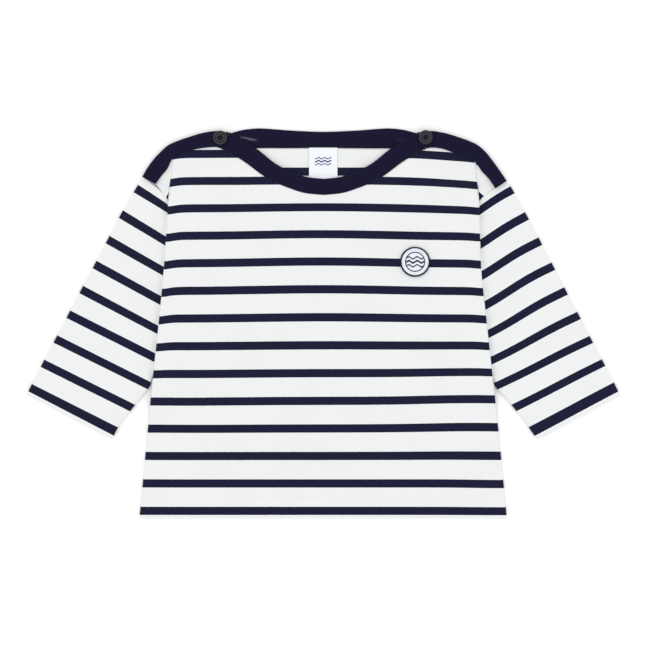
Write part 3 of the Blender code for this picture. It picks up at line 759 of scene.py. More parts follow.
@dataclass(frozen=True)
class LabelSatin:
    """White woven label with plain lines and a small row of waves."""

    white: tuple[float, float, float, float] = (0.80, 0.82, 0.86, 1.0)
    ink: tuple[float, float, float, float] = (0.03, 0.035, 0.16, 1.0)
    grey: tuple[float, float, float, float] = (0.42, 0.44, 0.50, 1.0)
    yarn: float = 0.00022

    def make(self, name: str) -> bpy.types.Material:
        """Return the material; cloth coordinates start at the label's middle and lower edge."""
        shader = Shader(name)
        coordinate, across, along = shader.cloth_axes()
        swell = shader.maths("MULTIPLY", shader.maths("SINE", shader.maths("MULTIPLY", across, 1250.0)), 0.0006)
        inside = shader.maths("LESS_THAN", shader.maths("ABSOLUTE", across), 0.0068)
        marks = None
        for level, width in ((0.0205, 0.00045), (0.0180, 0.00065), (0.0155, 0.00045)):
            gap = shader.maths("ABSOLUTE", shader.maths("SUBTRACT", shader.maths("SUBTRACT", along, level), swell))
            line = shader.maths("MULTIPLY", shader.maths("LESS_THAN", gap, width), inside)
            marks = line if marks is None else shader.maths("MAXIMUM", marks, line)
        rule = shader.maths("LESS_THAN", shader.maths("ABSOLUTE", shader.maths("SUBTRACT", along, 0.0072)), 0.00018)
        dots = shader.maths("GREATER_THAN", shader.maths("SINE", shader.maths("MULTIPLY", across, 7000.0)), -0.2)
        wide = shader.maths("LESS_THAN", shader.maths("ABSOLUTE", across), 0.0092)
        rule = shader.maths("MULTIPLY", shader.maths("MULTIPLY", rule, dots), wide)
        colour = shader.mix(marks, self.white, self.ink)
        colour = shader.mix(rule, colour, self.grey)
        shader.link(colour, shader.surface.inputs["Base Color"])
        weft = shader.maths("SINE", shader.maths("MULTIPLY", along, 2.0 * math.pi / self.yarn))
        warp = shader.maths("SINE", shader.maths("MULTIPLY", across, math.pi / self.yarn))
        weave = shader.maths("ADD", weft, shader.maths("MULTIPLY", warp, 0.5))
        shader.bump(weave, 0.00002, 0.5)
        shader.surface_values(0.48, 0.1, 0.4, 0.4)
        return shader.material


@dataclass(frozen=True)
class PatchEmbroidery:
    """White satin stitch ground with three stitched navy waves inside a thin ring."""

    white: tuple[float, float, float, float] = (0.76, 0.78, 0.84, 1.0)
    navy: tuple[float, float, float, float] = (0.010, 0.011, 0.042, 1.0)
    thread: float = 0.00038

    def make(self, name: str) -> bpy.types.Material:
        """Return the material; cloth coordinates start at the patch's middle."""
        shader = Shader(name)
        coordinate, across, along = shader.cloth_axes()
        square = shader.maths("ADD", shader.maths("MULTIPLY", across, across), shader.maths("MULTIPLY", along, along))
        radius = shader.maths("SQRT", square)
        ragged = shader.maths("MULTIPLY_ADD", shader.noise(coordinate, 1500.0, 1.0), 0.0004, -0.0002)
        radius = shader.maths("ADD", radius, ragged)
        ring_gap = shader.maths("ABSOLUTE", shader.maths("SUBTRACT", radius, 0.0079))
        marks = shader.maths("LESS_THAN", ring_gap, 0.00045)
        inside = shader.maths("LESS_THAN", radius, 0.0077)
        swell = shader.maths("MULTIPLY", shader.maths("SINE", shader.maths("MULTIPLY", across, 900.0)), 0.00085)
        for level, width in ((0.0033, 0.00062), (0.0, 0.00085), (-0.0033, 0.00062)):
            gap = shader.maths("SUBTRACT", shader.maths("SUBTRACT", along, level), swell)
            gap = shader.maths("ABSOLUTE", shader.maths("ADD", gap, ragged))
            line = shader.maths("MULTIPLY", shader.maths("LESS_THAN", gap, width), inside)
            marks = shader.maths("MAXIMUM", marks, line)
        rim = shader.maths("GREATER_THAN", radius, 0.0112)
        marks = shader.maths("MAXIMUM", marks, rim)
        shader.link(shader.mix(marks, self.white, self.navy), shader.surface.inputs["Base Color"])
        slant = shader.maths("ADD", across, shader.maths("MULTIPLY", along, 0.25))
        threads = shader.maths("ABSOLUTE", shader.maths("SINE", shader.maths("MULTIPLY", slant, math.pi / self.thread)))
        height = shader.maths("ADD", threads, shader.maths("MULTIPLY", marks, 1.2))
        shader.bump(height, 0.00010, 0.6)
        shader.surface_values(0.55, 0.15, 0.4, 0.35)
        return shader.material


@dataclass(frozen=True)
class SewingThread:
    """Spun polyester thread with a fine twist."""

    colour: tuple[float, float, float, float]

    def make(self, name: str) -> bpy.types.Material:
        """Return the material."""
        shader = Shader(name)
        place = shader.node("ShaderNodeTexCoord").outputs["Object"]
        twist = shader.node("ShaderNodeTexWave")
        shader.link(place, twist.inputs["Vector"])
        twist.inputs["Scale"].default_value = 1600.0
        twist.inputs["Distortion"].default_value = 1.0
        paler = tuple(min(1.0, part * 1.25) for part in self.colour[:3]) + (1.0,)
        shader.link(shader.mix(twist.outputs[1], self.colour, paler), shader.surface.inputs["Base Color"])
        shader.bump(twist.outputs[1], 0.00003, 0.6)
        shader.surface_values(0.65, 0.0, 0.4, 0.12)
        return shader.material


@dataclass(frozen=True)
class ButtonResin:
    """Dark navy resin with a satin polish, and painted highlights on its raised rings."""

    colour: tuple[float, float, float, float] = (0.0065, 0.0065, 0.0110, 1.0)
    # Painted highlight colour for the raised rings.
    ring_highlight: tuple[float, float, float, float] = (0.095, 0.095, 0.105, 1.0)
    rim_ring: float = 0.0051
    lobe_ring: float = 0.0032
    lobe_depth: float = 0.00038

    def make(self, name: str) -> bpy.types.Material:
        """Return the material; its coordinates start at the button's middle."""
        shader = Shader(name)
        coordinate, across, along = shader.cloth_axes()
        square = shader.maths("ADD", shader.maths("MULTIPLY", across, across), shader.maths("MULTIPLY", along, along))
        radius = shader.maths("MAXIMUM", shader.maths("SQRT", square), 0.0001)
        cosine = shader.maths("DIVIDE", across, radius)
        second = shader.maths("MULTIPLY", cosine, cosine)
        fourth = shader.maths("MULTIPLY", second, second)
        lobes = shader.maths("MULTIPLY_ADD", shader.maths("SUBTRACT", fourth, second), 8.0, 1.0)
        lobed = shader.maths("SUBTRACT", radius, shader.maths("MULTIPLY", lobes, self.lobe_depth))
        cloud = shader.noise(coordinate, 420.0, 3.0)
        # Painted highlight: the rim ring and the lobed inner ring are made paler in patches, where light would catch
        # the ridges.
        rim = self.ring(shader, radius, self.rim_ring, 0.00060)
        inner = self.ring(shader, lobed, self.lobe_ring, 0.00055)
        patchy = shader.maths("MULTIPLY_ADD", cloud, 1.6, -0.2)
        share = shader.maths("MULTIPLY", shader.maths("MAXIMUM", rim, inner), patchy)
        shader.link(shader.mix(share, self.colour, self.ring_highlight), shader.surface.inputs["Base Color"])
        shader.bump(shader.noise(coordinate, 2500.0, 2.0), 0.00002, 0.3)
        shader.surface_values(0.42, 0.0, 0.5, 0.25)
        return shader.material

    def ring(self, shader: Shader, radius: bpy.types.NodeSocket, middle: float,
             width: float) -> bpy.types.NodeSocket:
        """Return 1 on a ring, falling to 0 within a width to either side."""
        gap = shader.maths("ABSOLUTE", shader.maths("SUBTRACT", radius, middle))
        return shader.maths("MAXIMUM", shader.maths("SUBTRACT", 1.0, shader.maths("DIVIDE", gap, width)), 0.0)


@dataclass(frozen=True)
class PalePaper:
    """The plain surface that the top lies on."""

    colour: tuple[float, float, float, float] = (0.95, 0.95, 0.95, 1.0)

    def make(self, name: str) -> bpy.types.Material:
        """Return the material."""
        shader = Shader(name)
        place = shader.node("ShaderNodeTexCoord").outputs["Object"]
        pale = tuple(part * 0.995 for part in self.colour[:3]) + (1.0,)
        shader.link(shader.mix(shader.noise(place, 3.0), self.colour, pale), shader.surface.inputs["Base Color"])
        shader.surface_values(0.95, 0.0, 0.5, 0.05)
        return shader.material


class Finishes:
    """All the finishes, each made once."""

    def __init__(self) -> None:
        """Make every material."""
        self.jersey = StripedJersey().make("striped jersey")
        self.knit = NavyKnit().make("navy binding knit")
        self.label = LabelSatin().make("woven label satin")
        self.patch = PatchEmbroidery().make("patch embroidery")
        self.white_thread = SewingThread((0.74, 0.75, 0.76, 1.0)).make("white sewing thread")
        self.navy_thread = SewingThread((0.0085, 0.0080, 0.0280, 1.0)).make("navy sewing thread")
        self.resin = ButtonResin().make("button resin")
        self.paper = PalePaper().make("pale surface")


def dress(obj: bpy.types.Object, material: bpy.types.Material) -> bpy.types.Object:
    """Give a piece its finish and attach it to the root body."""
    obj.data.materials.clear()
    obj.data.materials.append(material)
    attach(obj, "root")
    return obj


def report(obj: bpy.types.Object) -> None:
    """Log a piece's name and number of faces."""
    LOG.info("%s: %d faces", obj.name, len(obj.data.polygons))


@dataclass
class FrontPanel:
    """The front of the body, which folds under itself along both sides."""

    fold_radius: float = 1.3
    lip_angle: float = 88.0
    flange_step: float = 0.085
    lip_columns: int = 8
    tuck_columns: int = 7
    spacing: float = 1.8
    upper_rows: int = 24
    hem_depth: float = 17.0
    hem_swell: float = 0.28
    flat: tuple[float, float] = (0.318, 0.322)
    area: float = 0.0824

    def edge_point(self, side: Side, y: float, share: float | None) -> tuple[float, float]:
        """Return the outermost place of the fold on one row."""
        if share is None:
            return float(CUT.side_curves[side](y)), y
        top_y = float(CUT.lap_y[side](CUT.fold_top_x))
        low_x = float(CUT.side_curves[side](CUT.corner_y))
        return low_x + (CUT.fold_top_x - low_x) * share, CUT.corner_y + (top_y - CUT.corner_y) * share

    def top_edge(self, side: Side, x: Array) -> Array:
        """Return the panel's upper edge over distances from the middle."""
        under_band = CUT.lap_y[side](x)
        by_neck = CUT.neck_outer_y(x) - 0.15
        return np.where(x >= CUT.neck_corner_x, under_band, by_neck)

    def seam_point(self, side: Side, share: float) -> tuple[float, float]:
        """Return a place on the armhole seam, from the fold at 0 to the shoulder at 1."""
        rows = CUT.shoulders[side]
        low = np.array([float(CUT.side_curves[side](CUT.corner_y)), CUT.corner_y])
        bend = np.array([rows[0].inner_x, rows[0].inner_y])
        top = np.array([rows[0].outer_x, rows[0].outer_y])
        top = top + (bend - top) * rows[0].lap
        point = low + (bend - low) * share / 0.6 if share <= 0.6 else bend + (top - bend) * (share - 0.6) / 0.4
        return float(point[0]), float(point[1])

    def side_columns(self, side: Side, y: float, share: float | None) -> Array:
        """Return the middle-surface points outside the crest on one row, outermost last.

        Args:
            side: Which side of the garment.
            y: The row's height at the fold.
            share: How far up the armhole the row lies, or None below it.

        Returns:
            The points.
        """
        sign = side.value
        edge_x, edge_y = self.edge_point(side, y, share)
        radius, half = self.fold_radius, CUT.wall / 2.0
        crest_x = edge_x - radius - half
        crest_z = float(CUT.front_low(sign * crest_x, edge_y)) + half
        turn = np.radians(np.linspace(0.0, self.lip_angle, self.lip_columns + 1)[1:])
        count = self.tuck_columns
        lip_x = crest_x + radius * np.sin(turn)
        lip_z = crest_z - radius * (1.0 - np.cos(turn))
        flange_x = np.full(count, lip_x[-1]) + 0.002 * np.arange(1, count + 1)
        flange_z = lip_z[-1] - self.flange_step * np.arange(1, count + 1)
        xs, zs = np.concatenate([lip_x, flange_x]), np.concatenate([lip_z, flange_z])
        ys = np.full(len(xs), edge_y)
        if share is not None and share > 0.0:
            seam_x, seam_y = self.seam_point(side, share)
            low_z = CUT.front_rest + half
            drop = max(0.02, crest_z - low_z)
            fall = ease(np.linspace(0.0, 1.0, self.lip_columns + 1)[1:], 0.0, 1.0)
            reach = radius + half
            tuck_x = crest_x + reach * np.linspace(0.0, 1.0, self.lip_columns + 1)[1:]
            tuck_z = crest_z - drop * fall
            out = np.linspace(0.0, 1.0, count + 1)[1:]
            outer_x = edge_x + (seam_x - edge_x) * out
            outer_y = edge_y + (seam_y - edge_y) * out
            outer_z = np.full(count, low_z)
            weight = float(ease(share, 0.0, 0.16))
            xs = xs * (1.0 - weight) + np.concatenate([tuck_x, outer_x]) * weight
            zs = zs * (1.0 - weight) + np.concatenate([tuck_z, outer_z]) * weight
            ys = ys * (1.0 - weight) + np.concatenate([np.full(self.lip_columns, edge_y), outer_y]) * weight
        return np.stack([sign * xs, ys, zs], axis=-1)

    def cloth_v(self, x: Array, y: Array) -> Array:
        """Return the cloth coordinate along the stripes' pitch at each place."""
        return y + CUT.stripe_drift(x, y)

    def tuck_v(self, side: Side, x: Array, y: Array) -> Array:
        """Return the cloth coordinate of the tuck outside the fold, whose stripes lean."""
        lean = math.radians(40.0 if side is Side.LEFT else 62.0)
        start_x, start_y = (128.5, 109.5) if side is Side.LEFT else (128.6, 108.6)
        stripe_top = CUT.front_stripe_y - 2.0 * CUT.stripe_pitch
        away = (y - start_y) * math.cos(lean) + (np.abs(x) - start_x) * math.sin(lean)
        return stripe_top + away

    def build(self) -> bpy.types.Object:
        """Make the panel's mesh.

        Returns:
            The panel, without a finish.
        """
        lower = CUT.hem_y + edge_steps(CUT.corner_y - CUT.hem_y, self.spacing)[:-3]
        rows: list[Array] = []
        cloth: list[Array] = []
        thick: list[Array] = []
        upper = list(np.linspace(0.0, 1.0, self.upper_rows))
        plan = [(float(y), None) for y in lower] + [(CUT.corner_y, float(share)) for share in upper]
        count = int(round(130.0 / self.spacing))
        shares = np.linspace(0.0, 1.0, count + 1)
        for y, share in plan:
            halves = {}
            for side in Side:
                edge_x, edge_y = self.edge_point(side, y, share)
                crest = edge_x - self.fold_radius - CUT.wall / 2.0
                if share is None:
                    x = crest * shares
                    place_y = np.full(len(x), y)
                else:
                    low_crest = self.edge_point(side, CUT.corner_y, 0.0)[0] - self.fold_radius - CUT.wall / 2.0
                    top_crest = CUT.fold_top_x - self.fold_radius - CUT.wall / 2.0
                    x = (low_crest + (top_crest - low_crest) * share) * shares
                    top_x = top_crest * shares
                    place_y = CUT.corner_y + (self.top_edge(side, top_x) - CUT.corner_y) * share
                    settle = ease(shares, 0.9, 1.0)
                    place_y = place_y + (edge_y - place_y[-1]) * settle
                sx = side.value * x
                z = CUT.front_low(sx, place_y) + CUT.wall / 2.0
                main = np.stack([sx, place_y, z], axis=-1)
                outside = self.side_columns(side, y, share)
                v_main = self.cloth_v(sx, place_y)
                v_lip = self.cloth_v(outside[:, 0], outside[:, 1])
                if share is not None:
                    v_tuck = self.tuck_v(side, outside[:, 0], outside[:, 1])
                    number = np.arange(len(v_lip))
                    blend = ease(number, self.lip_columns - 3.0, self.lip_columns - 1.0) * float(ease(share, 0.0, 0.05))
                    v_lip = v_lip * (1.0 - blend) + v_tuck * blend
                points = np.concatenate([main, outside])
                steps = np.linalg.norm(np.diff(points, axis=0), axis=1)
                run = np.concatenate([[0.0], np.cumsum(steps)]) * side.value
                edge = np.abs(run[-1] - run)
                halves[side] = (points, np.stack([run, np.concatenate([v_main, v_lip])], axis=-1), edge)
            right, left = halves[Side.RIGHT], halves[Side.LEFT]
            rows.append(np.concatenate([right[0][::-1], left[0][1:]]))
            cloth.append(np.concatenate([right[1][::-1], left[1][1:]]))
            from_side = np.concatenate([right[2][::-1], left[2][1:]])
            level = CUT.hem_y if share is None else CUT.corner_y
            from_hem = (y if share is None else level) - CUT.hem_y
            wall = CUT.wall + self.hem_swell * (1.0 - float(ease(from_hem, self.hem_depth - 0.8, self.hem_depth + 0.8)))
            thickness = np.minimum(rounded(from_side, wall), float(rounded(from_hem, wall)))
            if share is not None:
                top_gap = (1.0 - share) * 40.0
                thickness = np.minimum(thickness, float(rounded(top_gap, wall)))
            thick.append(thickness)
        mid = np.stack(rows)
        thickness = np.stack(thick)
        mid[..., 2] += np.maximum(0.0, thickness - CUT.wall) / 2.0
        LOG.info("front panel area %.4f", sheet_area(mid))
        return cloth_shell("body_front_cloth", mid, thickness, np.stack(cloth))


def sheet_area(mid: Array) -> float:
    """Return the area in square metres of a grid of points in millimetres."""
    first = mid[1:, 1:] - mid[:-1, :-1]
    second = mid[1:, :-1] - mid[:-1, 1:]
    return float(np.linalg.norm(np.cross(first, second), axis=-1).sum() / 2.0) * MM * MM


@dataclass
class BackPanel:
    """The back of the body, flat on the surface."""

    edge_in: float = 2.3
    spacing: float = 2.4
    match_drop: float = 8.37
    match_from: float = -60.0
    match_to: float = 110.0
    flat: tuple[float, float] = (0.304, 0.308)
    area: float = 0.0837
    troughs: tuple[Crease, ...] = (
        Crease(-110.0, 92.0, -62.0, 104.0, 0.24, 8.0),
        Crease(114.0, 88.0, 70.0, 108.0, 0.24, 9.0),
        Crease(-118.0, 30.0, -36.0, 40.0, 0.22, 14.0),
        Crease(20.0, 12.0, 112.0, -8.0, 0.24, 12.0),
        Crease(-126.0, -70.0, -30.0, -58.0, 0.20, 15.0),
        Crease(10.0, -96.0, 124.0, -112.0, 0.22, 13.0),
        Crease(-50.0, -146.0, 6.0, -124.0, 0.20, 10.0),
    )

    def build(self) -> bpy.types.Object:
        """Make the panel's mesh.

        Returns:
            The panel, without a finish.
        """
        lower = CUT.hem_y + edge_steps(CUT.corner_y - CUT.hem_y, self.spacing)[:-3]
        upper = np.linspace(0.0, 1.0, 22)
        across = edge_steps(260.0, self.spacing) / 130.0 - 1.0
        rows, thick = [], []
        for y, share in [(float(y), None) for y in lower] + [(CUT.corner_y, float(s)) for s in upper]:
            sides = np.where(across > 0.0, 1.0, -1.0)
            low = CUT.side_x(sides, np.full(len(across), y)) - self.edge_in
            x = low * across
            place_y = np.full(len(across), y)
            if share is not None:
                top_y = self.top_edge(sides, np.abs(across))
                top_x = self.top_corner_x(sides) * across
                x = x + (top_x - x) * share
                place_y = CUT.corner_y + (top_y - CUT.corner_y) * share
            from_side = low * (1.0 - np.abs(across))
            edge = np.minimum(from_side, y - CUT.hem_y if share is None else (1.0 - share) * 40.0)
            rows.append(np.stack([x, place_y, np.zeros(len(x))], axis=-1))
            thick.append(rounded(edge, CUT.wall))
        mid = np.stack(rows)
        x, y = mid[..., 0], mid[..., 1]
        trough = sum(crease.relief(x, y) for crease in self.troughs)
        mid[..., 2] = CUT.wall / 2.0 + np.minimum(trough, 0.26)
        v = y - self.match_drop * ease(y, self.match_from, self.match_to)
        uv = np.stack([x, v], axis=-1)
        LOG.info("back panel area %.4f", sheet_area(mid))
        return cloth_shell("body_back_cloth", mid, np.stack(thick), uv)

    def top_corner_x(self, sides: Array) -> Array:
        """Return the half width of the back just under the shoulder bands."""
        right, left = CUT.shoulders[Side.RIGHT][0], CUT.shoulders[Side.LEFT][0]
        return np.where(sides > 0.0, left.inner_x - 0.6, right.inner_x - 0.6)

    def top_edge(self, sides: Array, share: Array) -> Array:
        """Return the back's upper edge, under the bands and beside the back binding."""
        x = self.top_corner_x(sides) * share
        band = np.where(sides > 0.0, CUT.band_inner_y[Side.LEFT](x), CUT.band_inner_y[Side.RIGHT](x)) - 0.3
        neck = CUT.back_low(sides * x / CUT.back_low_half) - 0.15
        return np.where(x >= CUT.neck_corner_x - 1.0, band, neck)


@dataclass
class Sleeve:
    """One long sleeve, pressed flat, whose inner part lies between front and back."""

    side: Side
    half: float = 1.5
    tucked_half: float = 1.12
    lift: float = 1.5
    edge_round: float = 2.1
    points_across: int = 64
    rings: int = 116
    cuff_depth: float = 16.5
    cuff_swell: float = 0.25
    seam_bow: float = 2.2
    sway: float = 0.0
    rows: tuple[SleeveRow, ...] = ()
    creases: tuple[Crease, ...] = ()

    @property
    def name(self) -> str:
        """Return the sleeve's node name."""
        return f"sleeve_{self.side.name.lower()}"

    def table(self, field_name: str) -> SmoothCurve:
        """Return one column of the sleeve's table over the row's number."""
        return SmoothCurve([(float(k), float(getattr(row, field_name))) for k, row in enumerate(self.rows)])

    def section(self, where: float) -> tuple[Array, Array, Array]:
        """Return one ring of the sleeve.

        Args:
            where: The row number, between whole rows too.

        Returns:
            The outer ring's points, the inner ring's points, and the cloth coordinates.
        """
        value = {key: float(self.curves[key](where)) for key in
                 ("along", "outer_x", "outer_y", "inner_x", "inner_y", "hidden", "lift")}
        outer = np.array([value["outer_x"], value["outer_y"]])
        inner = np.array([value["inner_x"], value["inner_y"]])
        shown = float(np.linalg.norm(inner - outer))
        direction = (inner - outer) / shown
        whole = shown + value["hidden"]
        bow = self.seam_bow * max(0.0, 1.0 - where / 2.0) ** 2
        normal = np.array([direction[1], -direction[0]])
        if normal[1] < 0.0:
            normal = -normal

        def ring(inset: float, drop: float) -> Array:
            theta = np.linspace(0.0, np.pi, self.points_across)
            wide = whole - 2.0 * inset
            distance = inset + wide * (1.0 - np.cos(theta)) / 2.0
            edge = np.minimum(distance - inset, whole - inset - distance)
            share = 1.0 - np.clip(edge / self.edge_round, 0.0, 1.0)
            full = np.sqrt(np.maximum(0.0, 1.0 - share * share))
            tuck = ease(distance, shown - 4.5, shown - 0.5) * value["lift"]
            under = ease(distance, shown - 1.0, shown + 2.6) * value["lift"]
            half = self.half + (self.tucked_half - self.half) * tuck
            base = self.lift * under
            place = outer + direction * distance[:, None]
            arch = bow * 4.0 * (distance / whole) * (1.0 - np.minimum(distance / whole, 1.0))
            place = place + normal * arch[:, None]
            x, y = self.side.value * place[:, 0], place[:, 1]
            soft = sum(crease.relief(x, y) for crease in self.creases) * ease(edge, 1.0, 9.0)
            soft = soft * (1.0 - tuck)
            height = np.maximum(0.12, half * full - drop)
            centre = base + half
            top = np.stack([x, y, centre + height + soft], axis=-1)
            low = np.stack([x, y, centre - height + np.minimum(0.22, np.abs(soft) * 0.4)], axis=-1)
            return np.concatenate([top, low[-2:0:-1]])

        theta = np.linspace(0.0, np.pi, self.points_across)
        span = whole * (1.0 - np.cos(theta)) / 2.0
        loop = np.concatenate([span, 2.0 * whole - span[-2:0:-1]])
        v = np.full(len(loop), CUT.front_stripe_y - value["along"]) - self.stripe_bow(loop, whole, where)
        return ring(0.0, 0.0), ring(CUT.wall, CUT.wall), np.stack([loop, v], axis=-1)

    def stripe_bow(self, loop: Array, whole: float, where: float) -> Array:
        """Return how far the stripes bow along the sleeve at places round a ring."""
        share = np.minimum(loop, 2.0 * whole - loop) / whole
        return self.sway * np.sin(2.0 * np.pi * share) * math.exp(-((where - 4.0) / 3.0) ** 2)

    def build(self) -> bpy.types.Object:
        """Make the sleeve's mesh.

        Returns:
            The sleeve, without a finish.
        """
        self.curves = {key: self.table(key) for key in
                       ("along", "outer_x", "outer_y", "inner_x", "inner_y", "hidden", "lift")}
        last = len(self.rows) - 1
        spots = np.concatenate([[0.0, 0.02], np.linspace(0.06, last - 0.06, self.rings), [last - 0.02, last]])
        outer, inner, cloth = [], [], []
        for spot in spots:
            out_ring, in_ring, uv = self.section(float(spot))
            outer.append(out_ring)
            inner.append(in_ring)
            cloth.append(uv)
        outer_grid, inner_grid, uv_grid = np.stack(outer), np.stack(inner), np.stack(cloth)
        for grid_end, other in ((0, 1), (-1, -2)):
            middle = (outer_grid[grid_end] + inner_grid[grid_end]) / 2.0
            outer_grid[grid_end] = middle + (outer_grid[other] - inner_grid[other]) * 0.28
            inner_grid[grid_end] = middle - (outer_grid[other] - inner_grid[other]) * 0.28
        points = np.concatenate([outer_grid.reshape(-1, 3), inner_grid.reshape(-1, 3)])
        rows, columns = outer_grid.shape[:2]
        count = rows * columns
        outside = grid_quads(rows, columns, closed=True)
        inside = grid_quads(rows, columns, closed=True, start=count)[:, ::-1]
        around = np.arange(columns)
        following = (around + 1) % columns
        rim_low = np.stack([around, around + count, following + count, following], axis=-1)
        start = (rows - 1) * columns
        rim_high = np.stack([around + start, following + start, following + start + count,
                             around + start + count], axis=-1)
        faces = np.concatenate([outside, inside, rim_low, rim_high])
        uv = np.concatenate([uv_grid.reshape(-1, 2), uv_grid.reshape(-1, 2)])
        obj = mesh_object(f"{self.name}_cloth", points, faces, uv)
        turn_outwards(obj.data)
        closed = np.concatenate([outer_grid, outer_grid[:, :1]], axis=1)
        LOG.info("%s area all round %.4f", self.name, sheet_area(closed))
        return obj


def sleeve_rows(side: Side) -> tuple[SleeveRow, ...]:
    """Return one sleeve's rows: its seam, the top of each of its nine stripes, and its cuff."""
    pitch = CUT.stripe_pitch
    if side is Side.RIGHT:
        return (
            SleeveRow(-7.7, 150.6, 121.8, 129.2, 100.2, 14, 1),
            SleeveRow(0.0, 154.2, 115.0, 129.6, 98.1, 18, 1),
            SleeveRow(pitch, 166.7, 93.8, 131.6, 72.4, 24, 1),
            SleeveRow(2 * pitch, 177.8, 72.6, 133.2, 47.1, 24, 1),
            SleeveRow(3 * pitch, 188.6, 51.9, 135.3, 22.7, 21, 1),
            SleeveRow(4 * pitch, 199.7, 31.1, 137.8, -1.8, 15, 1),
            SleeveRow(5 * pitch, 210.4, 10.6, 140.3, -24.7, 8, 1),
            SleeveRow(6 * pitch, 221.2, -10.0, 143.2, -49.0, 0, 0.7),
            SleeveRow(7 * pitch, 231.9, -30.2, 156.4, -67.7, 0, 0),
            SleeveRow(8 * pitch, 242.3, -50.4, 170.6, -86.5, 0, 0),
            SleeveRow(8 * pitch + 9.4, 246.5, -58.8, 175.5, -96.1, 0, 0),
        )
    return (
        SleeveRow(-7.7, 152.1, 118.2, 129.8, 99.8, 14, 1),
        SleeveRow(0.0, 155.3, 113.8, 129.6, 97.0, 18, 1),
        SleeveRow(pitch, 167.3, 92.3, 130.3, 70.2, 24, 1),
        SleeveRow(2 * pitch, 178.5, 71.3, 131.7, 44.5, 24, 1),
        SleeveRow(3 * pitch, 189.3, 50.5, 134.0, 19.5, 21, 1),
        SleeveRow(4 * pitch, 199.9, 29.9, 136.4, -4.8, 15, 1),
        SleeveRow(5 * pitch, 210.6, 9.5, 138.6, -27.6, 8, 1),
        SleeveRow(6 * pitch, 220.9, -10.5, 141.5, -49.5, 0, 0.7),
        SleeveRow(7 * pitch, 231.1, -29.8, 155.9, -67.7, 0, 0),
        SleeveRow(8 * pitch, 241.0, -49.1, 170.2, -86.3, 0, 0),
        SleeveRow(8 * pitch + 9.4, 246.4, -59.6, 177.2, -96.5, 0, 0),
    )


SLEEVE_CREASES = {
    Side.RIGHT: (
        Crease(-146.0, 96.0, -168.0, 66.0, 0.45, 7.0),
        Crease(-140.0, 66.0, -160.0, 30.0, 0.38, 8.0),
        Crease(-176.0, 44.0, -158.0, 8.0, -0.30, 9.0),
        Crease(-150.0, 0.0, -196.0, -8.0, 0.35, 8.0),
        Crease(-206.0, 8.0, -176.0, -42.0, 0.30, 11.0),
        Crease(-180.0, -56.0, -222.0, -44.0, 0.25, 9.0),
    ),
    Side.LEFT: (
        Crease(148.0, 92.0, 166.0, 60.0, 0.42, 7.0),
        Crease(140.0, 58.0, 172.0, 40.0, 0.40, 8.0),
        Crease(186.0, 38.0, 160.0, 14.0, 0.34, 9.0),
        Crease(150.0, -4.0, 182.0, -34.0, -0.28, 9.0),
        Crease(204.0, 2.0, 172.0, -20.0, 0.36, 9.0),
        Crease(176.0, -62.0, 224.0, -38.0, 0.26, 9.0),
    ),
}


@dataclass
class FrontBinding:
    """The navy knit strip that finishes the scooped front neckline."""

    wall: float = 1.6
    rest: float = 2.4
    corner_rise: float = 0.4
    stations: int = 181
    across: int = 22
    flat: tuple[float, float] = (0.205, 0.0145)

    def top_at(self, share: float) -> float:
        """Return the height of the strip's underside along it."""
        return self.rest + self.corner_rise * float(ease(abs(share), 0.82, 1.0))

    def build(self) -> bpy.types.Object:
        """Make the strip's mesh.

        Returns:
            The strip, without a finish.
        """
        shares = np.linspace(-1.0, 1.0, self.stations)
        inner, outer = CUT.neck_edges(np.abs(shares) * CUT.neck_half)
        side = np.where(shares < 0.0, -1.0, 1.0)[:, None]
        inner = inner * np.concatenate([side, np.ones_like(side)], axis=1)
        outer = outer * np.concatenate([side, np.ones_like(side)], axis=1)
        run = np.concatenate([[0.0], np.cumsum(np.linalg.norm(np.diff(outer, axis=0), axis=1))])
        sections, cloth = [], []
        for k, share in enumerate(shares):
            width = float(np.linalg.norm(outer[k] - inner[k]))
            direction = (outer[k] - inner[k]) / width
            spots = edge_steps(width, width / self.across, (0.0, 0.1, 0.3, 0.6))
            crown = 0.22 * np.sin(np.pi * spots / width)
            ripple = 0.10 * math.sin(run[k] * 0.21) + 0.07 * math.sin(run[k] * 0.47 + 1.0)
            height = self.top_at(float(share)) + self.wall / 2.0 + crown + ripple * np.sin(np.pi * spots / width) ** 2
            outline = section_round(np.stack([spots, height], axis=-1), self.wall)
            place = inner[k] + direction * outline[:, :1]
            sections.append(np.concatenate([place, outline[:, 1:]], axis=1))
            cloth.append(np.stack([outline[:, 0], np.full(len(outline), run[k])], axis=-1))
        return strip_shell("neck_binding_front_cloth", np.stack(sections), np.stack(cloth))


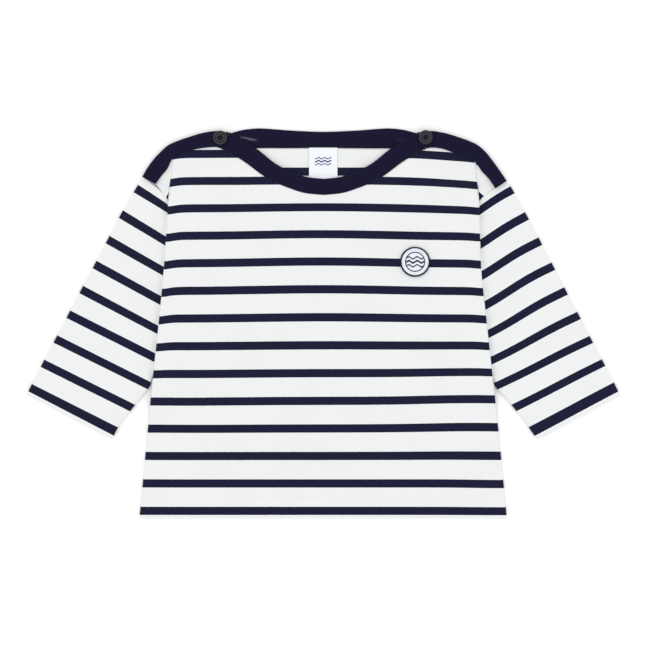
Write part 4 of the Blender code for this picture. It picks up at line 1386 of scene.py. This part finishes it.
@dataclass
class BackBinding:
    """The navy knit strip round the back neckline."""

    wall: float = 1.6
    stations: int = 151
    across: int = 22
    wrinkles: tuple[Crease, ...] = (
        Crease(-76.0, 155.5, -54.0, 152.2, 1.15, 1.3),
        Crease(-74.0, 152.0, -46.0, 149.2, -0.45, 1.7),
        Crease(-70.0, 158.4, -38.0, 156.6, 0.55, 1.7),
        Crease(75.0, 154.0, 56.0, 150.6, 0.85, 1.4),
        Crease(72.0, 158.0, 42.0, 155.6, 0.45, 2.0),
        Crease(74.0, 150.6, 52.0, 148.4, -0.40, 1.6),
        Crease(30.0, 149.6, -28.0, 149.4, 0.16, 1.2),
    )
    # Fold crests of the back binding that get a painted highlight.
    highlight_folds: tuple[Crease, ...] = (
        Crease(-69.5, 154.5, -55.5, 151.9, 0.85, 0.55),
        Crease(-64.0, 152.2, -57.0, 151.2, 0.25, 0.45),
        Crease(72.0, 153.4, 60.0, 151.2, 0.18, 0.5),
    )
    flat: tuple[float, float] = (0.160, 0.0150)

    def build(self) -> bpy.types.Object:
        """Make the strip's mesh.

        Returns:
            The strip, without a finish.
        """
        sections, cloth = [], []
        for share in np.linspace(-1.0, 1.0, self.stations):
            top = np.array([share * CUT.back_top_half, float(CUT.back_top(share))])
            low = np.array([share * CUT.back_low_half, float(CUT.back_low(share))])
            width = float(np.linalg.norm(low - top))
            direction = (low - top) / width
            spots = edge_steps(width, width / self.across, (0.0, 0.1, 0.3, 0.6))
            place = top + direction * spots[:, None]
            fold = sum(crease.relief(place[:, 0], place[:, 1]) for crease in self.wrinkles)
            fold = np.maximum(fold, -0.2) * np.sin(np.pi * np.clip(spots / width, 0.0, 1.0)) ** 0.6
            height = self.wall / 2.0 + 0.12 * np.sin(np.pi * spots / width) + fold
            outline = section_round(np.stack([spots, height], axis=-1), self.wall)
            outline[:, 1] = np.maximum(outline[:, 1], 0.0)
            place = top + direction * outline[:, :1]
            sections.append(np.concatenate([place, outline[:, 1:]], axis=1))
            run = share * CUT.back_top_half
            cloth.append(np.stack([outline[:, 0], np.full(len(outline), run)], axis=-1))
        strip = strip_shell("neck_binding_back_cloth", np.stack(sections), np.stack(cloth))
        paint_fold_highlight(strip, self.highlight_folds)
        return strip


@dataclass
class ShoulderBand:
    """The navy knit strip folded round one shoulder, from the neck to the sleeve."""

    side: Side
    wall: float = 1.3
    lowest: float = 3.0
    stations: int = 90
    across: int = 16
    turn_steps: int = 9
    flat: tuple[float, float] = (0.086, 0.030)

    @property
    def name(self) -> str:
        """Return the band's node name."""
        return f"shoulder_band_{self.side.name.lower()}"

    def station(self, where: float) -> tuple[Array, Array]:
        """Return the band's outer and inner edge places at a row number."""
        outer = np.array([float(self.curves["outer_x"](where)), float(self.curves["outer_y"](where))])
        inner = np.array([float(self.curves["inner_x"](where)), float(self.curves["inner_y"](where))])
        return outer, inner

    def rest_at(self, outer: Array, direction: Array, distance: Array) -> Array:
        """Return the height that the band's upper layer rests at."""
        place = outer + direction * distance[:, None]
        front = CUT.front_top(self.side.value * place[:, 0], place[:, 1])
        return np.maximum(self.lowest, front + 0.25)

    def build(self) -> bpy.types.Object:
        """Make the band's mesh.

        Returns:
            The band, without a finish.
        """
        rows = CUT.shoulders[self.side]
        self.curves = {key: SmoothCurve([(float(k), getattr(row, key)) for k, row in enumerate(rows)])
                       for key in ("outer_x", "outer_y", "inner_x", "inner_y")}
        sections, cloth = [], []
        run = 0.0
        before = None
        for where in np.linspace(0.0, len(rows) - 1.0, self.stations):
            outer, inner = self.station(float(where))
            width = float(np.linalg.norm(inner - outer))
            direction = (inner - outer) / width
            half = self.wall / 2.0
            spots = edge_steps(width, width / self.across, (0.0, 0.1, 0.3, 0.6))[::-1]
            rest = self.rest_at(outer, direction, spots) + half
            bend = (float(rest[-1]) - half) / 2.0
            upper = spots > bend + half
            ripple = 0.08 * math.sin(run * 0.23) * np.sin(np.pi * spots / width)
            upper_line = np.stack([spots, rest + 0.12 * np.sin(np.pi * spots / width) + ripple], axis=-1)[upper]
            angle = np.linspace(0.5 * np.pi, 1.5 * np.pi, self.turn_steps)
            centre = half + bend
            turn = np.stack([half + bend + bend * np.cos(angle), centre + bend * np.sin(angle)], axis=-1)
            lower_line = np.stack([spots, np.full(len(spots), half)], axis=-1)[upper][::-1]
            middle = np.concatenate([upper_line, turn, lower_line])
            outline = section_round(middle, self.wall)
            place = outer + direction * outline[:, :1]
            x = self.side.value * place[:, :1]
            sections.append(np.concatenate([x, place[:, 1:], outline[:, 1:]], axis=1))
            if before is not None:
                run += float(np.linalg.norm(outer - before))
            before = outer
            steps = np.linalg.norm(np.diff(middle, axis=0), axis=1)
            around = np.concatenate([[0.0], np.cumsum(steps)])
            around = np.concatenate([around, around[::-1]])
            cloth.append(np.stack([around, np.full(len(outline), run)], axis=-1))
        count = min(len(section) for section in sections)
        even = [resample(section, count) for section in sections]
        even_cloth = [resample(uv, count) for uv in cloth]
        return strip_shell(f"{self.name}_cloth", np.stack(even), np.stack(even_cloth))


def resample(points: Array, count: int) -> Array:
    """Return a row of points thinned to a number of them, the ends kept."""
    if len(points) == count:
        return points
    spots = np.linspace(0.0, len(points) - 1.0, count)
    return np.stack([np.interp(spots, np.arange(len(points)), points[:, k])
                     for k in range(points.shape[1])], axis=-1)


@dataclass
class NeckLabel:
    """The woven label inside the back neck."""

    width: float = 23.6
    centre_x: float = -0.3
    top_y: float = 145.8
    low_y: float = 116.5
    wall: float = 0.45
    rest: float = 1.5

    def build(self) -> bpy.types.Object:
        """Make the label's mesh.

        Returns:
            The label, without a finish.
        """
        across = edge_steps(self.width, 0.9, (0.0, 0.08, 0.2, 0.4)) - self.width / 2.0
        up = edge_steps(self.top_y - self.low_y, 0.9, (0.0, 0.08, 0.2, 0.4))
        x, y = np.meshgrid(across, up)
        wave = 0.16 * np.sin(y * 0.32 + 0.6) * np.sin((x + 5.0) * 0.17) + 0.10
        z = self.rest + self.wall / 2.0 + np.maximum(0.0, wave)
        mid = np.stack([x + self.centre_x, y + self.low_y, z], axis=-1)
        edge_x = self.width / 2.0 - np.abs(x)
        edge = np.minimum(edge_x, np.minimum(y, self.top_y - self.low_y - y))
        return cloth_shell("neck_label_cloth", mid, rounded(edge, self.wall), np.stack([x, y], axis=-1))


@dataclass
class ChestPatch:
    """The round embroidered patch on the wearer's left chest."""

    centre_x: float = 75.9
    centre_y: float = 50.9
    radius: float = 12.5
    rim: float = 1.5
    body: float = 0.9
    raise_rim: float = 0.55
    sides: int = 96

    def height(self, radius: Array) -> Array:
        """Return the patch's own height at distances from its middle."""
        ring = self.radius - self.rim / 2.0
        swell = np.clip(1.0 - ((radius - ring) / (self.rim / 2.0)) ** 2, 0.0, 1.0)
        ground = self.body * (1.0 - ease(radius, self.radius - 0.4, self.radius))
        return ground + self.raise_rim * np.sqrt(swell) + 0.12 * (1.0 - (radius / self.radius) ** 2)

    def build(self) -> bpy.types.Object:
        """Make the patch's mesh.

        Returns:
            The patch, without a finish.
        """
        radii = np.concatenate([np.linspace(0.3, 10.6, 14), np.linspace(11.0, 12.5, 11)])
        angle = np.linspace(0.0, 2.0 * np.pi, self.sides, endpoint=False)
        r, a = np.meshgrid(radii, angle, indexing="ij")
        x, y = self.centre_x + r * np.cos(a), self.centre_y + r * np.sin(a)
        rest = CUT.front_top(x, y) + 0.12
        top = np.stack([x, y, rest + np.maximum(0.15, self.height(r))], axis=-1)
        low = np.stack([x, y, rest], axis=-1)
        loop = np.concatenate([top, low[::-1]])
        rows, columns = loop.shape[:2]
        uv = np.stack([loop[..., 0] - self.centre_x, loop[..., 1] - self.centre_y], axis=-1)
        return strip_shell("chest_patch_cloth", loop, uv)

    def rim_path(self) -> Array:
        """Return the circle that the overlock stitches of the rim follow."""
        angle = np.linspace(0.0, 2.0 * np.pi, 145)
        ring = self.radius - self.rim / 2.0
        x, y = self.centre_x + ring * np.cos(angle), self.centre_y + ring * np.sin(angle)
        return np.stack([x, y, CUT.front_top(x, y) + self.body + self.raise_rim + 0.05], axis=-1)


@dataclass
class Button:
    """One four-hole button at the corner of the neck."""

    side: Side
    x: float
    y: float
    rest: float = 4.75
    radius: float = 6.0
    height: float = 2.5
    hole_radius: float = 0.72
    hole_spread: float = 1.3
    sides: int = 64

    @property
    def name(self) -> str:
        """Return the button's node name."""
        return f"button_{self.side.name.lower()}"

    def profile(self) -> Array:
        """Return the button's turned outline, radius and height, from middle to middle."""
        top, r = self.height, self.radius
        return np.array([
            (0.02, top - 0.75), (1.0, top - 0.75), (2.1, top - 0.74), (2.6, top - 0.62),
            (2.95, top - 0.36), (3.25, top - 0.30), (3.55, top - 0.38), (3.85, top - 0.66),
            (4.1, top - 0.74), (4.35, top - 0.62), (4.6, top - 0.2), (4.85, top - 0.03),
            (5.15, top), (5.5, top - 0.10), (5.8, top - 0.42), (r, top - 0.95), (r, 0.95),
            (5.75, 0.45), (5.2, 0.14), (4.4, 0.0), (2.0, 0.0), (0.02, 0.0),
        ])

    def build(self) -> bpy.types.Object:
        """Make the button's mesh, with its four thread holes cut.

        Returns:
            The button, without a finish.
        """
        profile = self.profile()
        angle = np.linspace(0.0, 2.0 * np.pi, self.sides, endpoint=False)
        sections = []
        for turn in angle:
            radius = profile[:, 0].copy()
            lobe = np.exp(-((radius - 3.2) / 0.55) ** 2)
            radius = radius + 0.28 * math.cos(4.0 * turn) * lobe
            height = profile[:, 1] + 0.12 * math.cos(4.0 * turn) * lobe * (profile[:, 1] > 1.0)
            sections.append(np.stack([self.x + radius * math.cos(turn), self.y + radius * math.sin(turn),
                                      self.rest + height], axis=-1))
        grid = np.stack(sections)
        rows, columns = grid.shape[:2]
        around = np.concatenate([grid, grid[:1]])
        quads = grid_quads(rows + 1, columns)
        quads = quads % (rows * columns)
        mesh = bpy.data.meshes.new(self.name)
        cap_top = [int(k * columns) for k in range(rows)]
        cap_low = [int(k * columns + columns - 1) for k in range(rows)]
        faces = quads.tolist() + [cap_top, cap_low[::-1]]
        mesh.from_pydata((grid.reshape(-1, 3) * MM).tolist(), [], faces)
        mesh.update()
        layer = mesh.uv_layers.new(name="cloth")
        corners = np.empty(len(mesh.loops), dtype=np.int32)
        mesh.loops.foreach_get("vertex_index", corners)
        flat = (grid.reshape(-1, 3)[:, :2] - np.array([self.x, self.y])) * MM
        layer.data.foreach_set("uv", flat[corners].astype(np.float32).ravel())
        turn_outwards(mesh)
        body = bpy.data.objects.new(f"{self.name}_body", mesh)
        bpy.context.scene.collection.objects.link(body)
        return self.cut_holes(body)

    def hole_places(self) -> list[tuple[float, float]]:
        """Return the middles of the four thread holes."""
        turns = [math.pi / 4.0 + math.pi / 2.0 * k for k in range(4)]
        return [(self.x + self.hole_spread * math.cos(turn), self.y + self.hole_spread * math.sin(turn))
                for turn in turns]

    def cut_holes(self, body: bpy.types.Object) -> bpy.types.Object:
        """Return the button with its holes, as a plain mesh."""
        shape = bmesh.new()
        for x, y in self.hole_places():
            made = bmesh.ops.create_cone(shape, cap_ends=True, segments=20, radius1=self.hole_radius * MM,
                                         radius2=self.hole_radius * MM, depth=4.0 * self.height * MM)
            bmesh.ops.translate(shape, verts=made["verts"],
                                vec=Vector((x, y, self.rest + self.height / 2.0)) * MM)
        cutter_mesh = bpy.data.meshes.new("button_drill")
        shape.to_mesh(cutter_mesh)
        shape.free()
        cutter = bpy.data.objects.new("button_drill", cutter_mesh)
        bpy.context.scene.collection.objects.link(cutter)
        drill = body.modifiers.new("thread holes", "BOOLEAN")
        drill.operation = "DIFFERENCE"
        drill.solver = "EXACT"
        drill.object = cutter
        result = plain_copy(body, f"{self.name}_resin")
        bpy.data.objects.remove(cutter, do_unlink=True)
        result.data.shade_smooth()
        bevel_view = result.modifiers.new("soft rims", "BEVEL")
        bevel_view.width = 0.00008
        bevel_view.segments = 1
        bevel_view.angle_limit = math.radians(50.0)
        finished = plain_copy(result, f"{self.name}_resin_piece")
        return finished

    def thread(self) -> list[Array]:
        """Return the sewing thread's bars between the holes."""
        places = self.hole_places()
        floor = self.rest + self.height - 0.62
        bars = []
        for first, second in ((0, 3), (1, 2)):
            for shift in (-0.22, 0.22):
                start, stop = np.array(places[first]), np.array(places[second])
                t = np.linspace(0.0, 1.0, 9)
                line = start + (stop - start) * t[:, None]
                line[:, 0] += shift
                z = floor + 0.34 * np.sin(np.pi * t) - 0.5 * (1.0 - np.sin(np.pi * t)) ** 4
                bars.append(np.concatenate([line, z[:, None]], axis=1))
        return bars


def plain_copy(obj: bpy.types.Object, name: str) -> bpy.types.Object:
    """Return an object's finished mesh as a new object, and remove the first one."""
    graph = bpy.context.evaluated_depsgraph_get()
    mesh = bpy.data.meshes.new_from_object(obj.evaluated_get(graph))
    mesh.name = name
    made = bpy.data.objects.new(name, mesh)
    bpy.context.scene.collection.objects.link(made)
    bpy.data.objects.remove(obj, do_unlink=True)
    return made


class SewingMachine:
    """Lays stitches along paths with one node tree."""

    def __init__(self) -> None:
        """Build the tree that every seam shares."""
        self.tree = bpy.data.node_groups.new("stitches along a path", "GeometryNodeTree")
        self.sockets: dict[str, str] = {}
        add = self.tree.interface.new_socket
        add("Path", in_out="INPUT", socket_type="NodeSocketGeometry")
        for label, kind in (("Stitch spacing", "NodeSocketFloat"), ("Stitch length", "NodeSocketFloat"),
                            ("Thread radius", "NodeSocketFloat"), ("Turn", "NodeSocketFloat"),
                            ("Slack", "NodeSocketFloat"), ("Seed", "NodeSocketInt"),
                            ("Thread", "NodeSocketMaterial")):
            self.sockets[label] = add(label, in_out="INPUT", socket_type=kind).identifier
        add("Stitches", in_out="OUTPUT", socket_type="NodeSocketGeometry")
        self._wire()

    def _wire(self) -> None:
        """Join the tree's nodes."""
        nodes, links = self.tree.nodes, self.tree.links
        start, end = nodes.new("NodeGroupInput"), nodes.new("NodeGroupOutput")
        curve = nodes.new("GeometryNodeMeshToCurve")
        even = nodes.new("GeometryNodeResampleCurve")
        even.mode = "LENGTH"
        stitch = nodes.new("GeometryNodeMeshUVSphere")
        stitch.inputs["Segments"].default_value = 8
        stitch.inputs["Rings"].default_value = 6
        stitch.inputs["Radius"].default_value = 1.0
        tangent = nodes.new("GeometryNodeInputTangent")
        aim = nodes.new("FunctionNodeAlignRotationToVector")
        aim.axis = "X"
        turn = nodes.new("FunctionNodeRandomValue")
        turn.data_type = "FLOAT"
        turned = nodes.new("FunctionNodeAxisAngleToRotation")
        turned.inputs["Axis"].default_value = (0.0, 0.0, 1.0)
        rotate = nodes.new("FunctionNodeRotateRotation")
        rotate.rotation_space = "LOCAL"
        negative = nodes.new("ShaderNodeMath")
        negative.operation = "SUBTRACT"
        positive = nodes.new("ShaderNodeMath")
        positive.operation = "ADD"
        half = nodes.new("ShaderNodeMath")
        half.operation = "MULTIPLY"
        half.inputs[1].default_value = 0.5
        scale = nodes.new("ShaderNodeCombineXYZ")
        place = nodes.new("GeometryNodeInstanceOnPoints")
        real = nodes.new("GeometryNodeRealizeInstances")
        smooth = nodes.new("GeometryNodeSetShadeSmooth")
        colour = nodes.new("GeometryNodeSetMaterial")
        links.new(start.outputs["Path"], curve.inputs[0])
        links.new(curve.outputs[0], even.inputs["Curve"])
        links.new(start.outputs["Stitch spacing"], even.inputs["Length"])
        links.new(even.outputs[0], place.inputs["Points"])
        links.new(stitch.outputs["Mesh"], place.inputs["Instance"])
        links.new(tangent.outputs[0], aim.inputs["Vector"])
        links.new(start.outputs["Turn"], negative.inputs[0])
        links.new(start.outputs["Slack"], negative.inputs[1])
        links.new(start.outputs["Turn"], positive.inputs[0])
        links.new(start.outputs["Slack"], positive.inputs[1])
        links.new(negative.outputs[0], turn.inputs[2])
        links.new(positive.outputs[0], turn.inputs[3])
        links.new(start.outputs["Seed"], turn.inputs["Seed"])
        links.new(turn.outputs[1], turned.inputs["Angle"])
        links.new(aim.outputs[0], rotate.inputs["Rotation"])
        links.new(turned.outputs[0], rotate.inputs["Rotate By"])
        links.new(rotate.outputs[0], place.inputs["Rotation"])
        links.new(start.outputs["Stitch length"], half.inputs[0])
        links.new(half.outputs[0], scale.inputs[0])
        links.new(start.outputs["Thread radius"], scale.inputs[1])
        links.new(start.outputs["Thread radius"], scale.inputs[2])
        links.new(scale.outputs[0], place.inputs["Scale"])
        links.new(place.outputs[0], real.inputs[0])
        links.new(real.outputs[0], smooth.inputs[0])
        links.new(smooth.outputs[0], colour.inputs[0])
        links.new(start.outputs["Thread"], colour.inputs["Material"])
        links.new(colour.outputs[0], end.inputs[0])

    def sew(self, name: str, paths: list[Array], spacing: float, length: float, radius: float,
            thread: bpy.types.Material, turn: float = 0.0, slack: float = 0.05) -> bpy.types.Object:
        """Lay one thread's stitches along paths.

        Args:
            name: The stitching's name.
            paths: Rows of points in millimetres.
            spacing: From one stitch's middle to the next, in millimetres.
            length: One stitch's length.
            radius: The thread's radius.
            thread: The thread's finish.
            turn: The angle in radians between each stitch and the path.
            slack: The random part of that angle.

        Returns:
            The stitches as a plain mesh.
        """
        points: list[list[float]] = []
        edges: list[tuple[int, int]] = []
        for path in paths:
            first = len(points)
            points.extend((path * MM).tolist())
            edges.extend((first + k, first + k + 1) for k in range(len(path) - 1))
        mesh = bpy.data.meshes.new(name)
        mesh.from_pydata(points, edges, [])
        path_object = bpy.data.objects.new(f"{name}_path", mesh)
        bpy.context.scene.collection.objects.link(path_object)
        machine = path_object.modifiers.new("stitches", "NODES")
        machine.node_group = self.tree
        for label, value in (("Stitch spacing", spacing * MM), ("Stitch length", length * MM),
                             ("Thread radius", radius * MM), ("Turn", turn), ("Slack", slack),
                             ("Seed", 7), ("Thread", thread)):
            machine[self.sockets[label]] = value
        stitches = plain_copy(path_object, name)
        stitches.data.materials.clear()
        stitches.data.materials.append(thread)
        return stitches


@dataclass
class Stitching:
    """Every visible line of sewing on the top."""

    machine: SewingMachine
    finishes: Finishes
    hem_rows: tuple[float, float] = (15.2, 17.4)
    cuff_rows: tuple[float, float] = (14.6, 16.6)
    made: list[bpy.types.Object] = field(default_factory=list)

    def hem_paths(self) -> list[Array]:
        """Return the twin rows above the hem, on the front and on the back."""
        paths = []
        for up in self.hem_rows:
            y = CUT.hem_y + up
            for front in (True, False):
                right = float(CUT.side_curves[Side.RIGHT](y)) - 1.9
                left = float(CUT.side_curves[Side.LEFT](y)) - 1.9
                x = np.linspace(-right, left, 170)
                level = np.full(len(x), y)
                z = CUT.front_top(x, level) + 0.14 if front else np.full(len(x), 0.03)
                paths.append(np.stack([x, level, z], axis=-1))
        return paths

    def sew_all(self, sleeves: list[Sleeve], patch: ChestPatch) -> list[bpy.types.Object]:
        """Sew every seam.

        Args:
            sleeves: The two sleeves, for their cuffs.
            patch: The chest patch, for its rim.

        Returns:
            The stitching pieces.
        """
        sew = self.machine.sew
        white, navy = self.finishes.white_thread, self.finishes.navy_thread
        self.made.append(sew("hem_stitches", self.hem_paths(), 2.9, 2.3, Weight.FINE.value, white))
        for sleeve in sleeves:
            self.made.append(sew(f"{sleeve.name}_cuff_stitches", self.cuff_paths(sleeve), 2.7, 2.2,
                                 Weight.FINE.value, white))
        self.made.append(sew("neck_binding_stitches", self.neck_paths(), 2.4, 1.9, Weight.FINE.value, navy))
        self.made.append(sew("shoulder_band_stitches", self.band_paths(), 2.4, 1.9, Weight.FINE.value, navy))
        self.made.append(sew("patch_rim_stitches", [patch.rim_path()], 0.42, 1.55, Weight.STURDY.value,
                             navy, math.pi / 2.0, 0.10))
        self.made.append(sew("label_stitches", self.label_paths(), 1.9, 1.3, 0.12, white))
        return self.made

    def cuff_paths(self, sleeve: Sleeve) -> list[Array]:
        """Return the twin rows above a cuff, all round the sleeve."""
        paths = []
        last = len(sleeve.rows) - 1
        for up in self.cuff_rows:
            where = last - 1.0 - (up - 9.4) / CUT.stripe_pitch
            outer, _, _ = sleeve.section(where)
            middle = outer.mean(axis=0)
            ring = outer.copy()
            ring[:, 2] = np.where(ring[:, 2] > middle[2], ring[:, 2] + 0.03, ring[:, 2] + 0.10)
            paths.append(np.concatenate([ring, ring[:1]]))
        return paths

    def neck_paths(self) -> list[Array]:
        """Return the rows along both edges of the front binding and the back binding's lower edge."""
        binding = FrontBinding()
        shares = np.linspace(-0.985, 0.985, 160)
        inner, outer = CUT.neck_edges(np.abs(shares) * CUT.neck_half)
        side = np.where(shares < 0.0, -1.0, 1.0)
        paths = []
        for part in (0.11, 0.89):
            place = inner + (outer - inner) * part
            z = np.array([binding.top_at(float(share)) for share in shares]) + binding.wall + 0.10
            paths.append(np.stack([side * place[:, 0], place[:, 1], z], axis=-1))
        spots = np.linspace(-0.9, 0.9, 140)
        y = CUT.back_low(spots) + 1.6
        paths.append(np.stack([spots * CUT.back_low_half, y, np.full(len(y), 1.72)], axis=-1))
        return paths

    def band_paths(self) -> list[Array]:
        """Return the row along each shoulder band's inner edge."""
        paths = []
        for side in Side:
            rows = CUT.shoulders[side]
            curves = [SmoothCurve([(float(k), getattr(row, key)) for k, row in enumerate(rows)])
                      for key in ("outer_x", "outer_y", "inner_x", "inner_y")]
            where = np.linspace(0.05, len(rows) - 1.4, 80)
            outer = np.stack([curves[0](where), curves[1](where)], axis=-1)
            inner = np.stack([curves[2](where), curves[3](where)], axis=-1)
            place = inner + (outer - inner) * 0.10
            x = side.value * place[:, 0]
            z = np.maximum(3.0, CUT.front_top(x, place[:, 1]) + 0.25) + 1.3 + 0.06
            paths.append(np.stack([x, place[:, 1], z], axis=-1))
        return paths

    def label_paths(self) -> list[Array]:
        """Return the short row that holds the label's upper edge."""
        label = NeckLabel()
        x = np.linspace(-label.width / 2.0 + 0.8, label.width / 2.0 - 0.8, 20) + label.centre_x
        y = np.full(len(x), label.top_y - 0.9)
        return [np.stack([x, y, np.full(len(x), label.rest + label.wall + 0.16)], axis=-1)]


@dataclass
class Studio:
    """The camera, the soft light and the pale surface."""

    height: float = 2.0
    centre: tuple[float, float] = (0.00035, -0.0007)
    view_width: float = 0.5378
    sensor: float = 36.0
    glow: float = 1.10
    key_power: float = 3.0

    def build(self, finishes: Finishes) -> None:
        """Set up the camera, the lights and the floor."""
        scene = bpy.context.scene
        scene.view_settings.view_transform = "Standard"
        camera_data = bpy.data.cameras.new("overhead camera")
        camera_data.sensor_width = self.sensor
        camera_data.lens = self.sensor * (self.height - 0.0035) / self.view_width
        camera = bpy.data.objects.new("overhead camera", camera_data)
        camera.location = (self.centre[0], self.centre[1], self.height)
        scene.collection.objects.link(camera)
        scene.camera = camera
        world = bpy.data.worlds.new("soft white room")
        world.use_nodes = True
        background = world.node_tree.nodes["Background"]
        background.inputs["Color"].default_value = (1.0, 1.0, 1.0, 1.0)
        background.inputs["Strength"].default_value = self.glow
        scene.world = world
        for name, place, size, power in (
                ("large soft light", (-0.9, 0.9, 1.5), 1.2, self.key_power),
                ("small fill light", (1.1, -0.5, 1.2), 0.9, self.key_power * 0.35)):
            lamp_data = bpy.data.lights.new(name, "AREA")
            lamp_data.size = size
            lamp_data.energy = power
            lamp = bpy.data.objects.new(name, lamp_data)
            lamp.location = place
            lamp.rotation_euler = (Vector((0.0, 0.0, 0.0)) - Vector(place)).to_track_quat("-Z", "Y").to_euler()
            scene.collection.objects.link(lamp)
        mesh = bpy.data.meshes.new("pale_surface")
        reach = 3.0
        low = -0.0003
        mesh.from_pydata([(-reach, -reach, low), (reach, -reach, low), (reach, reach, low),
                          (-reach, reach, low)], [], [(0, 1, 2, 3)])
        floor = bpy.data.objects.new("pale_surface", mesh)
        scene.collection.objects.link(floor)
        floor.data.materials.append(finishes.paper)


def main() -> None:
    """Build the whole top, piece by piece."""
    logging.basicConfig(level=logging.INFO, format="%(name)s: %(message)s")
    finishes = Finishes()
    Studio().build(finishes)
    machine = SewingMachine()

    front_panel = FrontPanel()
    front = dress(front_panel.build(), finishes.jersey)
    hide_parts("body_front")
    back_panel = BackPanel()
    back = dress(back_panel.build(), finishes.jersey)
    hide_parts("body_back")
    sleeves = [Sleeve(side, sway=0.9 if side is Side.LEFT else 0.0, rows=sleeve_rows(side),
                      creases=SLEEVE_CREASES[side]) for side in Side]
    sleeve_pieces = []
    for sleeve in sleeves:
        piece = dress(sleeve.build(), finishes.jersey)
        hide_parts(sleeve.name)
        sleeve_pieces.append(piece)
    front_binding = FrontBinding()
    front_strip = dress(front_binding.build(), finishes.knit)
    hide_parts("neck_binding_front")
    back_binding = BackBinding()
    back_strip = dress(back_binding.build(), finishes.knit)
    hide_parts("neck_binding_back")
    band_pieces = []
    bands = [ShoulderBand(side) for side in Side]
    for band in bands:
        piece = dress(band.build(), finishes.knit)
        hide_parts(band.name)
        band_pieces.append(piece)
    label = dress(NeckLabel().build(), finishes.label)
    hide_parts("neck_label")
    patch = ChestPatch()
    patch_piece = dress(patch.build(), finishes.patch)
    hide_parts("chest_patch")
    button_pieces = []
    for button in (Button(Side.RIGHT, -85.7, 153.7), Button(Side.LEFT, 84.6, 154.1)):
        piece = dress(button.build(), finishes.resin)
        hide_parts(button.name)
        button_pieces.append(piece)
        thread = machine.sew(f"{button.name}_thread", button.thread(), 0.3, 0.42, 0.16,
                             finishes.navy_thread, 0.0, 0.0)
        dress(thread, finishes.navy_thread)
        button_pieces.append(thread)
    stitching = Stitching(machine, finishes)
    seams = stitching.sew_all(sleeves, patch)
    for seam in seams:
        material = seam.data.materials[0]
        dress(seam, material)

    for piece, seam in zip(sleeve_pieces, seams[1:3]):
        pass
    for obj in [front, back, *sleeve_pieces, front_strip, back_strip, *band_pieces, label, patch_piece,
                *button_pieces, *seams]:
        report(obj)
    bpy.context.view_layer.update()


if __name__ == "__main__":
    main()
